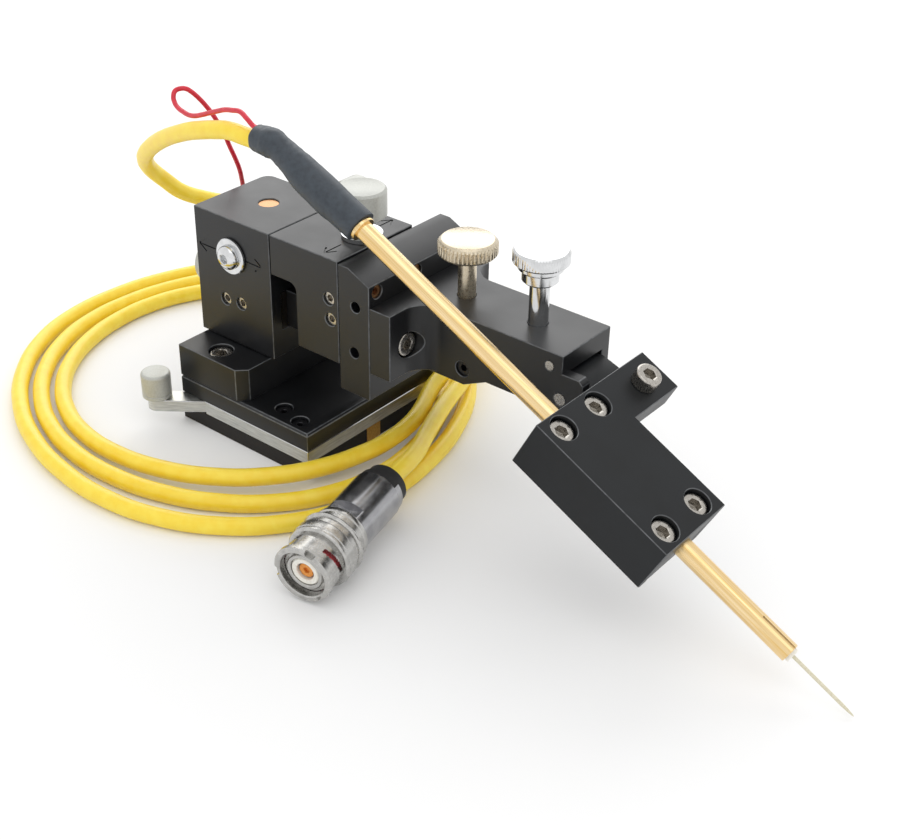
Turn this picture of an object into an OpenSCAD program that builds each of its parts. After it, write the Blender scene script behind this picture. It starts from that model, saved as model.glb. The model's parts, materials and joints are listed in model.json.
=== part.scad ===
// Three-axis probe positioner: a switchable magnetic base, a stack of three screw-driven
// slides, a bracket arm with a tilting clamp block, a slanted brass probe tube with a fine
// needle, and a coiled signal cable with a bayonet plug and a thin earth wire.
// Millimetres. Origin: middle of the base underside. +X along the base front edge towards
// the arm, +Y from the front towards the back, +Z up.

/* [Base] */
// Width of the square base, left to right
base_w = 40; // [36:0.5:60]
// Depth of the base, front to back
base_d = 43; // [41:0.5:60]
// Height of the iron pole layer
pole_h = 3.75; // [2:0.05:8]
// Width of the brass strip between the two poles
divider_w = 4.5; // [2:0.1:8]
// Thickness of the bright middle plate
plate_h = 3.2; // [2.6:0.05:6]
// Thickness of the black top deck
deck_h = 4.45; // [3:0.05:8]
// Edge bevel of the top deck
deck_bevel = 0.5; // [0.1:0.1:1]
// Hole size of the two small deck screws
deck_screw_d = 4; // [3.2:0.1:5]

/* [Magnet lever] */
// Width of the lever bar
lever_w = 4.5; // [3:0.1:7]
// Length of the lever, from its turning axis to the knob axis
lever_l = 29.8; // [27:0.1:40]
// Diameter of the round lever knob
lever_knob_d = 6.8; // [4:0.1:10]
// Height of the round lever knob
lever_knob_h = 6.5; // [3:0.1:10]
// Diameter of the turning magnet disc
rotor_d = 13; // [8:0.5:15]
// Outer diameter of the ring that carries the magnet disc
rotor_ring_d = 18; // [16:0.5:20]
// How far the lever swings, in degrees
lever_swing = 60; // [20:5:80]

/* [Y slide] */
// Height of the fixed guide block on the deck
guide_h = 8; // [6:0.1:12]
// Width of the fixed guide block
guide_w = 20.5; // [16:0.1:24]
// Bevel on the near corner of the guide block
guide_bevel = 2.2; // [0.5:0.1:4]
// Height of the dovetail rail
rail_h = 4; // [3:0.1:5]
// Width of the dovetail rail at its root
rail_root_w = 7; // [5:0.1:9]
// Width of the dovetail rail at its top
rail_top_w = 10; // [8:0.1:12]
// Thickness of the post that holds the Y screw
post_t = 5.4; // [4:0.1:8]
// Height of the post above the guide block
post_h = 28; // [26:0.1:32]

/* [Slide blocks] */
// Width of the left block
block_w = 23.1; // [20:0.1:30]
// Depth of the left block
block_d = 23.1; // [20:0.1:28]
// Height of the left block
block_h = 30.7; // [28:0.1:36]
// Width of the gap between the left block and the column
slot_w = 7.7; // [4:0.1:12]
// Height of the bridge over that gap
bridge_h = 9.3; // [6:0.1:12]
// Width of the column
column_w = 12.2; // [11:0.1:18]
// Depth of the column
column_d = 24.1; // [21:0.1:30]
// How far the column stops above the left block's underside
column_lift = 6.5; // [2:0.1:10]
// Width of the right-hand riser
riser_w = 8.5; // [6:0.1:14]
// Depth of the right-hand riser
riser_d = 33.3; // [30:0.1:40]
// Height of the right-hand riser
riser_h = 29.7; // [28:0.1:34]
// Width of the long bevel along the riser's top
riser_bevel_w = 5.7; // [2:0.1:7]
// Drop of the long bevel along the riser's top
riser_bevel_h = 2.7; // [1:0.1:5]
// Running gap between sliding faces
slide_gap = 0.1; // [0.05:0.01:0.2]
// Thickness of the gib strips
gib_t = 1.6; // [1:0.1:2]

/* [Drive screws] */
// Diameter of the three drive screws
drive_d = 3; // [2.5:0.1:3.4]
// Running gap round the drive screws
drive_gap = 0.05; // [0.02:0.01:0.1]
// Diameter of the drive knobs
drive_knob_d = 10.9; // [8:0.1:14]
// Height of the vertical drive knob
z_knob_h = 6.5; // [3:0.1:10]
// Thickness of the sideways drive knob
x_knob_h = 3.5; // [2:0.1:6]
// Height of the rear drive knob
y_knob_h = 6.5; // [3:0.1:10]

/* [Bracket arm] */
// Thickness of the bracket wings
wing_t = 5.6; // [4:0.1:8]
// Height of the bracket wings
wing_h = 15.5; // [13:0.1:20]
// Width of the arm, front to back
arm_w = 16.6; // [14:0.1:20]
// Distance from the wings to the arm's far end
arm_l = 36.2; // [34:0.1:45]
// Height of the arm at its root
arm_h = 16; // [14:0.1:18]
// Height of the arm past the ramp
arm_tip_h = 13.2; // [12:0.1:15]
// Radius of the inside corners between wings and arm
arm_fillet = 5.5; // [2:0.1:6]
// Thickness of the top plate at the arm's far end
arm_plate_t = 4.4; // [3:0.1:6]
// Width of the fork pocket for the tilt lever
fork_w = 11.4; // [9:0.1:13]
// Diameter of the tilt pivot pin
pivot_d = 2.6; // [2:0.1:4]

/* [Thumb screws] */
// Head diameter of the warm-coloured thumb screw
thumb1_d = 12.7; // [9:0.1:15]
// Head thickness of the warm-coloured thumb screw
thumb1_h = 3.6; // [2:0.1:6]
// Shank diameter of the warm-coloured thumb screw
thumb1_shank_d = 3.9; // [3:0.1:5]
// Height of its top above the arm
thumb1_rise = 13; // [8:0.1:16]
// Head diameter of the bright thumb screw
thumb2_d = 11.7; // [9:0.1:14]
// Head thickness of the bright thumb screw
thumb2_h = 3; // [2:0.1:5]
// Shank diameter of the bright thumb screw
thumb2_shank_d = 4.2; // [3:0.1:5]
// Height of its top above the arm
thumb2_rise = 16.5; // [10:0.1:20]

/* [Clamp block] */
// Downward slant of the probe, in degrees
probe_slant = 27; // [20:0.5:30]
// Length of the clamp block along the probe
clamp_l = 33.6; // [26:0.1:40]
// Width of the clamp block
clamp_w = 20.5; // [17:0.1:26]
// Thickness of the clamp block
clamp_t = 11.4; // [10:0.1:14]
// Thickness of its top slab and of the side ear
slab_t = 5.7; // [5:0.1:6.5]
// Length of the side ear along the probe
ear_l = 10; // [8:0.1:14]
// How far the side ear reaches past the block
ear_w = 15.3; // [12:0.1:16]
// Side wall thickness round the clamp bar
clamp_wall = 2.2; // [1.5:0.1:3]

/* [Probe] */
// Outer diameter of the probe tube
tube_d = 4; // [3:0.1:5]
// Bore of the probe tube
tube_bore = 2.9; // [1.6:0.1:3.4]
// Length of tube above the clamp block
tube_up = 55.6; // [40:0.1:60]
// Length of tube below the clamp block's upper end
tube_down = 60.9; // [50:0.1:62]
// Diameter of the flared rim at the tube's upper end
rim_d = 5.6; // [4.6:0.1:7]
// Thickness of the flared rim
rim_t = 0.9; // [0.5:0.1:2]
// Diameter of the needle
needle_d = 0.7; // [0.4:0.05:1.2]
// How far the needle stands out of the tube
needle_out = 15.6; // [8:0.1:15.8]
// Largest diameter of the shrink sleeve
sleeve_d = 7.5; // [6:0.1:9]

/* [Cable and plug] */
// Diameter of the signal cable
cable_d = 4; // [3:0.1:4.4]
// Diameter of the thin earth wire
wire_d = 1.1; // [0.8:0.05:1.6]
// Half the width of the innermost cable loop
loop_half_w = 45.5; // [44:0.1:60]
// Half the depth of the innermost cable loop
loop_half_d = 43; // [42:0.1:60]
// Length of the plug
plug_l = 33; // [32:0.1:40]
// Diameter of the plug's coupling ring
plug_ring_d = 14.3; // [13:0.1:16]
// Diameter of the plug's back shell
plug_shell_d = 11.3; // [9:0.1:12]

/* [Fasteners] */
// Head diameter of the cap screws
cap_d = 5.4; // [4.5:0.1:6]
// Head height of the cap screws
cap_h = 3; // [2:0.1:4]
// Thread diameter of the cap screws
cap_thread_d = 2.9; // [2:0.1:3.2]
// Width across flats of the hexagon recess
cap_key = 2.5; // [1.5:0.1:3]
// Diameter of the small set screws
set_d = 2.9; // [2:0.1:3.2]

/* [Hidden] */
$fn = 64;
// Overrun of every cut, and seating gap between fixed round pieces
over = 1;
seat_gap = 0.05;

// Base, from the underside up
plate_z = pole_h;
deck_z = pole_h + plate_h;
deck_top = deck_z + deck_h;
guide_top = deck_top + guide_h;
divider_y = 19.3;
deck_screw_at = [[28.3, 4.9], [34.7, 3.3], [28.3, 38.1], [34.7, 39.7]];
deck_sink = 0.8;
deck_head_h = 1.6;
deck_thread_d = 2;
deck_key = 1.3;

// Magnet lever
pivot_x = 20.5;
pivot_y = 13.4;
lever_angle = 218.3;
layer_gap = 0.1;
lever_side_gap = 0.3;
lever_stem_d = 2.4;

// Guide block, rail and post
post_y = base_d - post_t;
post_top = guide_top + post_h;
rail_x = 10.2;
rail_y = 18;
guide_screw_at = [9.4, 4.4];
guide_sink = 0.6;
post_screw_x = [5, 15.5];
post_screw_up = 4;
thrust_d = 5.2;
thrust_t = 1.6;
thrust_gap = 0.1;
hub_d = 6;
hub_l = 2.3;

// Left block
block_lift = 0.2;
block_x = -1.3;
block_y = 8.9;
block_z = guide_top + block_lift;
block_top = block_z + block_h;
block_x1 = block_x + block_w;
block_y1 = block_y + block_d;
block_corner = 2.5;
front_wall = 3.1;
end_wall = 4;
y_wall = 3.9;

// Column, bridge and riser
seam = 0.3;
bridge_x = block_x1 + seam;
column_x = block_x1 + slot_w;
column_x1 = column_x + column_w;
column_z = block_z + column_lift;
column_y1 = block_y + column_d;
bridge_z = block_top - bridge_h;
bridge_corner = 2;
riser_gap = 0.2;
riser_lift = 0.6;
riser_x = column_x1 + riser_gap;
riser_x1 = riser_x + riser_w;
riser_y1 = block_y + riser_d;
riser_z = block_z + riser_lift;
riser_top = riser_z + riser_h;

// X tongue, inside the left block
tongue_h = 9;
tongue_w = 12.5;
tongue_y = block_y + front_wall + gib_t + 2 * seat_gap + slide_gap / 2;
tongue_y1 = tongue_y + tongue_w;
chan_y = block_y + front_wall;
chan_y1 = tongue_y1 + slide_gap;
x_axis_y = tongue_y + tongue_w / 2;
x_axis_z = column_z + tongue_h / 2;
tongue_x = block_x + end_wall + thrust_t + 3 * thrust_gap;
x_bore_l = 22.5;
x_screw_in = 19.5;
x_hub_l = 5.1;

// Z tongue, inside the column
z_chan_x = column_x + 4;
lip_t = 1.5;
mouth_y = block_y + 6.6;
mouth_w = 12.2;
z_chan_y1 = block_y + 20.6;
z_tongue_z = column_z;
z_tongue_h = 12.3;
cap_wall = 5;
z_axis_x = column_x + 7.8;
z_axis_y = block_y + 12.7;
z_screw_low = column_z + 1.9;
z_washer_d = 9;
z_washer_t = 0.9;
z_stem_d = 3.8;
z_stem_l = 3.8;

// Y screw and its nut
y_axis_x = 10.2;
y_axis_z = block_z + 22;
nut_d = 4.5;
nut_y = block_y + 11.9;
nut_below = 3;
nut_sink = 0.3;
y_washer_d = 8.4;
y_washer_t = 0.8;
button_d = 5.7;
button_h = 1.8;
button_pin_d = 1.8;
button_pin_l = 4;
button_key = 2;
knob_bevel = 0.5;

// Set screws: along and up from each block's left face and underside
x_set_at = [[8.5, 10.3], [13.4, 10.7]];
z_set_at = [[9.5, 14.7], [9.9, 9.9]];
riser_hole_at = [[4.7, 21.2], [4.2, 10.2]];
riser_hole_d = 2.5;
riser_hole_l = 6;
set_sink = 0.6;
set_key = 1.5;
side_set_y = block_y + 2.7;
side_screw_y = block_y + 15.4;
side_z = riser_top - 4.6;
side_l = 4;

// Engraved arrows
mark_t = 0.35;
mark_depth = 0.2;
mark_l = 2.6;
front_mark_x = [1.2, 18.2];
front_mark_w = 5;
top_mark_x = 36.8;
top_mark_y = [block_y + 1.6, block_y + 22.4];

// Bracket and arm
wing_x1 = riser_x1 + wing_t;
wing_y = block_y + 0.1;
wing_z = riser_z + 6.7;
arm_top = wing_z + wing_h;
arm_y = block_y + 10.1;
arm_y1 = arm_y + arm_w;
arm_mid = arm_y + arm_w / 2;
arm_x1 = wing_x1 + arm_l;
arm_low = arm_top - arm_h;
arm_tip_low = arm_top - arm_tip_h;
ramp_x = wing_x1 + 11.6;
ramp_x1 = wing_x1 + 17.4;
fork_y = arm_mid - fork_w / 2;
fork_y1 = arm_mid + fork_w / 2;
fork_x = arm_x1 - 16.7;
fork_floor = 2.3;
fork_floor_x1 = arm_x1 - 6.2;
cheek_l = 5;
cheek_top = arm_top - 4;
rear_cheek_l = 2.9;
rear_cheek_top = arm_top - 7.8;
cheek_bevel = 2;
pivot_px = arm_x1 - 0.3;
pivot_pz = arm_top - 9.9;
dowel_px = arm_x1 - 3.2;
dowel_pz = arm_top - 3.2;
dowel_d = 2;
dowel_l = 6;
side_plug_x = wing_x1 + 11.2;
side_plug_z = arm_top - 12.3;
side_plug_d = 3.4;
side_plug_l = 5;
wing_screw_y = 5.8;
wing_screw_back = 3.4;
wing_screw_z = 6.7;
wing_screw_grip = 5.4;
wing_screw_sink = 0.1;
sink_gap = 0.3;

// Thumb screws
thumb1_x = wing_x1 + 5.5;
thumb2_x = wing_x1 + 24;
thumb1_depth = 8.4;
thumb2_tip = arm_plate_t + 0.8;
thumb_collar_d = 7.6;
thumb_collar_h = 2.6;
thumb_neck_d = 9.4;
thumb_neck_h = 1.6;
pad_d = 3;
pad_t = 1.5;

// Clamp block frame: x down along the probe, y to the back, z out of its top face
clamp_x = arm_x1 + 8.7;
clamp_y = block_y - 10.5;
clamp_z = arm_top - 2.1;
tube_y = clamp_w / 2;
tube_z = -slab_t;
clamp_screw_s = [3.5, 29.75];
clamp_screw_off = 5.6;
clamp_sink = 1;
clamp_screw_l = 5.6;
bar_gap = 0.1;
ear_screw_s = 5.3;
ear_screw_y = clamp_w + 8.6;
ear_screw_l = 4;
slit_w = 0.4;
slit_l = 8;
core_out = 0.7;
core_gap = 0.05;
needle_in = 16;

// Tilt lever
lever_gap = 0.3;
tail_x = arm_x1 - 15.2;
tail_z = arm_top - 9.2;
tail_top = arm_top - thumb2_tip - seat_gap;
nose_y = arm_y + 0.3;
nose_x = arm_x1 + cheek_l + 0.4;
nose_low = arm_tip_low + 0.2;

// Plug, measured forward from its rear face
plug_x = 62.4;
plug_y = 0.5;
plug_turn = 11.1;
plug_pitch = 3;
bush_l = 2;
bush_d = 9.4;
shell_l = 15.8;
shell_flat = 1.2;
shell_flat_l = 2.8;
nut2_l = 3.4;
nut2_d = 12.2;
coupling_l = 6;
front_sleeve_d = 12;
flange_l = 1.6;
flange_d = 12.9;
seal_l = 3;
plug_wall = 0.9;
plug_core_d = 8.2;
insul_d = 6.3;
insul_sink = 0.2;
contact_d = 3.2;
contact_gap = 0.4;
lug_d = 1.9;
lug_at = [70, 190, 310];
nut2_z = bush_l + shell_l;
coupling_z = nut2_z + nut2_l;
front_z = coupling_z + coupling_l;
plug_z = plug_ring_d / 2 + front_z * sin(plug_pitch) + layer_gap;

// Cable loops on the floor, innermost first: each one's middle, what its reach to the right, back,
// left and front adds to half the width or depth, and how far its back part leans to the right
loops = [[-3, 22.5, 2.5, -2, -3, 2, -1.5], [-1.5, 16.5, 8.5, 12, 3.5, 2.5, -5],
    [4, 15, 8.5, 20, 14.5, 7.5, -6]];
// Turns at which the coil starts and ends, and the hidden stretch in which it changes loops
loop_first = 65;
loop_last = 1070;
loop_shift_from = 15;
loop_shift_for = 120;
loop_in_extra = 2.8;
// Towards its end the cable leaves the floor, to lie over the base's corner side, as in the photo:
// how far it rises, the stretch of turns in which it does, and how far it moves out for each mm risen
loop_lift = 2.25;
loop_lift_from = 965;
loop_lift_for = 80;
loop_lift_out = [0.98, -1.24, 1];
loop_sides = 6;
ring_turn = 15;

// Cable from the shrink sleeve to the place where it joins the cable that rises from the loops
lead_route = [
    [20.6, 8.65, 71.2], [16.6, 8.65, 71.2], [11.5, 9.1, 70.9], [6.8, 9.6, 69.7],
    [1.8, 10.4, 68.1], [-3.4, 11.5, 66.2], [-9.5, 13, 63.5], [-16.1, 15, 60.2],
    [-21.8, 17, 56.9], [-26.6, 19, 53.8], [-30.6, 21, 50.9], [-33.7, 23, 48.2],
    [-37.1, 27, 43.4], [-37.3, 31.5, 38.7], [-36.2, 35.5, 34.7], [-34.2, 41, 31.6],
    [-31.5, 48, 28.6], [-27, 55.5, 25.6], [-21, 62.5, 23], [-13, 69, 21],
    [-4, 74.5, 19.8], [5, 78.5, 19.2], [13, 80.5, 19], [20, 79.5, 19],
    [25, 76, 19], [27, 71.5, 19], [27, 67, 19]
];
// Cable from that joint down to the loops
rise_route = [
    [27, 67, 19], [27, 63.8, 19], [28, 60.3, 18.5], [30.6, 57, 17.2], [34.2, 53.8, 15.2],
    [37.8, 50.4, 12.8], [40.8, 46.8, 10.4], [42.6, 42.8, 8.6], [43.4, 38.8, 7.6], [44.8, 34.9, 6.9],
    [46.4, 31.1, 6.4], [47.6, 27.2, 6], [48.1, 23.2, 5.5], [48, 19.2, 5], [47.5, 15.4, 4.5]
];
// Cable from the loops up into the plug
tail_route = [
    [plug_x, plug_y, plug_z], [61.7, 4.2, plug_z + 0.2], [60.8, 8.2, 8.6], [59.4, 12.3, 8],
    [57.5, 16.8, 7.3], [55.1, 21.8, 6.9], [52.6, 27.8, 6.8], [50.2, 34, 6.8], [48.2, 39.8, 6.8],
    [46.5, 45.2, 6.8], [44.4, 50.5, 6.8], [41.3, 55.7, 6.8], [38.2, 60.7, 6.6], [34.6, 65.4, 5.6],
    [30.8, 69.2, 4.2], [27, 72.2, 2.7]
];
// Thin earth wire
wire_route = [
    [20.6, 8.65, 74], [19.8, 8.65, 74], [17.6, 8.9, 75], [14.8, 9.6, 75.7], [12, 10, 75.2],
    [9.3, 10.5, 74.5],
    [6.3, 11, 73.3], [3.5, 11.5, 72.1], [0.3, 12, 70.7], [-2.5, 12.5, 69.6], [-5.2, 13, 69],
    [-7.5, 13.5, 69], [-9.6, 14, 69.2], [-11.3, 14.6, 69.8], [-12.5, 15.4, 70.8],
    [-12.8, 16.3, 71.7], [-12.2, 17.2, 72.1], [-11.4, 18.2, 72], [-10.9, 19.2, 71.2],
    [-10.5, 20.2, 70.1], [-10.1, 21.2, 68.8], [-9.7, 22.3, 67.2], [-9.3, 23.5, 65.2],
    [-8.9, 25, 62.3], [-8.7, 26.2, 59.8], [-8.8, 27.5, 56.7], [-8.7, 29, 53.1],
    [-9, 30.4, 49.9], [-9.9, 31.8, 46.6], [-11, 33.2, 43.4], [-12, 35, 40], [-12.6, 37, 36.6],
    [-12.8, 39, 33.2]
];
wire_tip_l = 4;
wire_tip_d = 0.8;
// Shrink sleeve: middle line and radius as a share of its largest radius
sleeve_route = [
    [43.5, 8.65, 62.9], [41.5, 8.65, 63.7], [38, 8.65, 65.4], [34.5, 8.65, 67.1], [31.5, 8.65, 68.8],
    [29, 8.65, 70.2], [27, 8.65, 71.1], [25, 8.65, 71.7], [23, 8.65, 71.8], [20.6, 8.65, 71.8]
];
sleeve_shares = [0.96, 1, 1, 0.97, 0.9, 0.8, 0.76, 0.84, 0.82, 0.77];

// Helpers
module placed() { translate([-base_w / 2, -base_d / 2, 0]) children(); }
module box(x0, x1, y0, y1, z0, z1) { translate([x0, y0, z0]) cube([x1 - x0, y1 - y0, z1 - z0]); }
module zcyl(x, y, z0, z1, d) { translate([x, y, z0]) cylinder(d = d, h = z1 - z0); }
module ycyl(x, z, y0, y1, d) { translate([x, y0, z]) rotate([-90, 0, 0]) cylinder(d = d, h = y1 - y0); }
module xcyl(y, z, x0, x1, d) { translate([x0, y, z]) rotate([0, 90, 0]) cylinder(d = d, h = x1 - x0); }
// hexagon recess, cut down from z = 0
module key_cut(width, depth) {
    translate([0, 0, -depth]) cylinder(d = width / cos(30), h = depth + over, $fn = 6);
}
// cap screw standing on z = 0, shank below
module cap_screw(head_d, head_h, thread_d, shank, key) {
    bevel = head_d / 12;
    difference() {
        union() {
            rotate_extrude() polygon([[0, 0], [head_d / 2, 0], [head_d / 2, head_h - bevel],
                [head_d / 2 - bevel, head_h], [0, head_h]]);
            translate([0, 0, -shank]) cylinder(d = thread_d, h = shank + head_h / 2);
        }
        translate([0, 0, head_h]) key_cut(key, head_h * 0.6);
    }
}
// headless set screw, its outer end at z = 0
module set_screw(d, length, key) {
    difference() {
        translate([0, 0, -length]) cylinder(d = d, h = length);
        key_cut(key, length / 2);
    }
}
// turned knob with bevelled edges, standing on z = 0
module knob(d, h, bevel) {
    rotate_extrude() polygon([[0, 0], [d / 2 - bevel, 0], [d / 2, bevel], [d / 2, h - bevel],
        [d / 2 - bevel, h], [0, h]]);
}
function unit(v) = v / norm(v);
function tangent(p, i) = unit(p[min(i + 1, len(p) - 1)] - p[max(i - 1, 0)]);
function flat(n, t) = unit(n - (n * t) * t);
// round bar swept along points p, with one radius for each point
module sweep(p, r, sides) {
    t = [for (i = [0 : len(p) - 1]) tangent(p, i)];
    first = abs(t[0][2]) > 0.9 ? [1, 0, 0] : [0, 0, 1];
    n = [for (i = 0, v = flat(first, t[0]); i < len(p); i = i + 1,
        v = i < len(p) ? flat(v, t[i]) : v) v];
    pts = [for (i = [0 : len(p) - 1]) for (j = [0 : sides - 1])
        p[i] + r[i] * (cos(360 * j / sides) * n[i] + sin(360 * j / sides) * cross(t[i], n[i]))];
    last = (len(p) - 1) * sides;
    faces = concat(
        [for (i = [0 : len(p) - 2]) for (j = [0 : sides - 1]) let (k = (j + 1) % sides)
            [i * sides + j, (i + 1) * sides + k, i * sides + k]],
        [for (i = [0 : len(p) - 2]) for (j = [0 : sides - 1]) let (k = (j + 1) % sides)
            [i * sides + j, (i + 1) * sides + j, (i + 1) * sides + k]],
        [for (j = [1 : sides - 2]) [0, j, j + 1]],
        [for (j = [1 : sides - 2]) [last, last + j + 1, last + j]]);
    polyhedron(points = pts, faces = faces, convexity = 6);
}
module bar(p, d, sides) { sweep(p, [for (q = p) d / 2], sides); }
// the clamp block's frame
module clamp_frame() { translate([clamp_x, clamp_y, clamp_z]) rotate([0, probe_slant, 0]) children(); }
function clamp_point(s, z) = [clamp_x + s * cos(probe_slant) + z * sin(probe_slant),
    clamp_z - s * sin(probe_slant) + z * cos(probe_slant)];
// outline in the front view, pushed back from y0 to y1
module side_shape(y0, y1) { translate([0, y1, 0]) rotate([90, 0, 0]) linear_extrude(y1 - y0) children(); }
module plug_frame() {
    translate([plug_x, plug_y, plug_z]) rotate([0, 0, plug_turn]) rotate([90 + plug_pitch, 0, 0]) children();
}

// Base
module magnet_poles() color("#2b2b2c") placed() {
    box(0, base_w, 0, divider_y, 0, plate_z);
    box(0, base_w, divider_y + divider_w, base_d, 0, plate_z);
}
module pole_divider() color("#b08d45") placed()
    box(0, base_w, divider_y, divider_y + divider_w, 0, plate_z);
module lever_sweep_shape() {
    reach = lever_l + lever_knob_d;
    half = lever_w / 2 + lever_side_gap;
    circle(d = rotor_ring_d + 2 * lever_side_gap);
    rotate(lever_angle) translate([0, -half]) square([reach, 2 * half]);
    rotate(lever_angle - lever_swing) translate([0, -half]) square([reach, 2 * half]);
    polygon([[0, 0], reach * [cos(lever_angle), sin(lever_angle)],
        reach * [cos(lever_angle - lever_swing / 2), sin(lever_angle - lever_swing / 2)]
            / cos(lever_swing / 2),
        reach * [cos(lever_angle - lever_swing), sin(lever_angle - lever_swing)]]);
}
module magnet_plate() color("#c9cac8") placed() difference() {
    box(0, base_w, 0, base_d, plate_z, deck_z);
    translate([pivot_x, pivot_y, plate_z - over]) linear_extrude(plate_h + 2 * over) lever_sweep_shape();
    for (q = deck_screw_at)
        zcyl(q[0], q[1], deck_z - deck_thread_d, deck_z + over, deck_thread_d + 2 * seat_gap);
}
module base_deck() color("#1d1d1e") placed() difference() {
    union() {
        box(0, base_w, 0, base_d, deck_z, deck_top - deck_bevel);
        translate([0, 0, deck_top - deck_bevel]) bevel_slab(base_w, base_d, deck_bevel);
    }
    for (q = deck_screw_at) {
        zcyl(q[0], q[1], deck_z - over, deck_top + over, deck_thread_d + 2 * seat_gap);
        zcyl(q[0], q[1], deck_top - deck_sink - deck_head_h, deck_top + over, deck_screw_d);
    }
    zcyl(guide_screw_at[0], guide_screw_at[1], deck_top - cap_thread_d, deck_top + over,
        cap_thread_d + 2 * seat_gap);
}
// slab whose four top edges are bevelled at 45 degrees over its whole height
module bevel_slab(w, d, h) {
    intersection() {
        translate([0, d, 0]) rotate([90, 0, 0]) linear_extrude(d)
            polygon([[0, 0], [w, 0], [w - h, h], [h, h]]);
        rotate([90, 0, 90]) linear_extrude(w)
            polygon([[0, 0], [d, 0], [d - h, h], [h, h]]);
    }
}
module deck_screws() color("#6f6f70") placed() for (q = deck_screw_at)
    translate([q[0], q[1], deck_top - deck_sink - deck_head_h])
        cap_screw(deck_screw_d - 2 * seat_gap, deck_head_h, deck_thread_d,
            deck_h - deck_sink - deck_head_h + deck_thread_d / 2, deck_key);

// Magnet lever
module lever_bar() color("#c9cac8") placed() translate([pivot_x, pivot_y, plate_z + layer_gap])
    difference() {
        union() {
            cylinder(d = rotor_ring_d, h = plate_h - 2 * layer_gap);
            rotate(lever_angle) translate([0, -lever_w / 2, 0])
                cube([lever_l, lever_w, plate_h - 2 * layer_gap]);
            rotate(lever_angle) translate([lever_l, 0, 0])
                cylinder(d = lever_w, h = plate_h - 2 * layer_gap);
        }
        translate([0, 0, -over]) cylinder(d = rotor_d + 2 * seat_gap, h = plate_h + 2 * over);
        rotate(lever_angle) translate([lever_l, 0, -over])
            cylinder(d = lever_stem_d + 2 * seat_gap, h = plate_h + 2 * over);
    }
module lever_magnet() color("#8b8d90") placed()
    zcyl(pivot_x, pivot_y, plate_z + layer_gap, deck_z - layer_gap, rotor_d);
module lever_knob() color("#d9d9d2") placed()
    translate([pivot_x, pivot_y, 0]) rotate(lever_angle) translate([lever_l, 0, deck_z - layer_gap]) {
        knob(lever_knob_d, lever_knob_h, knob_bevel);
        translate([0, 0, -plate_h + 3 * layer_gap]) cylinder(d = lever_stem_d, h = plate_h);
    }

// Fixed guide and screw post
module y_guide() color("#1d1d1e") placed() difference() {
    union() {
        translate([0, 0, deck_top]) linear_extrude(guide_h) polygon([[0, 0],
            [guide_w - guide_bevel, 0], [guide_w, guide_bevel], [guide_w, post_y], [0, post_y]]);
        translate([rail_x, post_y, guide_top]) rotate([90, 0, 0]) linear_extrude(post_y - rail_y)
            polygon([[-rail_root_w / 2, 0], [rail_root_w / 2, 0], [rail_top_w / 2, rail_h],
                [-rail_top_w / 2, rail_h]]);
    }
    translate([guide_screw_at[0], guide_screw_at[1], 0]) {
        zcyl(0, 0, deck_top - over, guide_top + over, cap_thread_d + 2 * seat_gap);
        zcyl(0, 0, guide_top - guide_sink - cap_h, guide_top + over, cap_d + sink_gap);
    }
    for (x = post_screw_x) ycyl(x, deck_top + post_screw_up, post_y - 2 * cap_thread_d, post_y + over,
        cap_thread_d + 2 * seat_gap);
}
module guide_screw() color("#8f8f90") placed()
    translate([guide_screw_at[0], guide_screw_at[1], guide_top - guide_sink - cap_h])
        cap_screw(cap_d, cap_h, cap_thread_d, guide_h - guide_sink - cap_h + cap_thread_d / 2, cap_key);
module screw_post() color("#1d1d1e") placed() difference() {
    box(0, guide_w, post_y, base_d, deck_top, post_top);
    ycyl(y_axis_x, y_axis_z, post_y - over, base_d + over, drive_d + 2 * drive_gap);
    ycyl(y_axis_x, y_axis_z, post_y - over, post_y + thrust_t + 2 * thrust_gap,
        thrust_d + 2 * lever_gap);
    for (x = post_screw_x) {
        ycyl(x, deck_top + post_screw_up, post_y - over, base_d + over, cap_thread_d + 2 * seat_gap);
        ycyl(x, deck_top + post_screw_up, base_d - cap_h, base_d + over, cap_d + sink_gap);
    }
}
module post_screws() color("#8f8f90") placed() for (x = post_screw_x)
    translate([x, base_d - cap_h, deck_top + post_screw_up]) rotate([-90, 0, 0])
        cap_screw(cap_d, cap_h, cap_thread_d, post_t - cap_h + cap_thread_d, cap_key);

// Y drive
module y_screw() color("#b9bab8") placed() difference() {
    union() {
        ycyl(y_axis_x, y_axis_z, block_y - y_washer_t - thrust_gap, base_d + hub_l + y_knob_h / 2,
            drive_d);
        ycyl(y_axis_x, y_axis_z, post_y + thrust_gap, post_y + thrust_gap + thrust_t, thrust_d);
    }
    ycyl(y_axis_x, y_axis_z, block_y - y_washer_t - thrust_gap - over,
        block_y - y_washer_t - thrust_gap + button_pin_l + seat_gap, button_pin_d + 2 * seat_gap);
}
module y_knob() color("#cfd0cc") placed()
    translate([y_axis_x, base_d + thrust_gap, y_axis_z]) rotate([-90, 0, 0]) difference() {
        union() {
            cylinder(d = hub_d, h = hub_l + knob_bevel);
            translate([0, 0, hub_l]) knob(drive_knob_d, y_knob_h, knob_bevel);
        }
        translate([0, 0, -over]) cylinder(d = drive_d + 2 * seat_gap,
            h = over + hub_l + y_knob_h / 2 + thrust_gap);
    }
module y_washer() color("#c3c5c6") placed() difference() {
    ycyl(y_axis_x, y_axis_z, block_y - y_washer_t - thrust_gap, block_y - thrust_gap, y_washer_d);
    ycyl(y_axis_x, y_axis_z, block_y - y_washer_t - over, block_y + over, drive_d + 2 * seat_gap);
}
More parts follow.
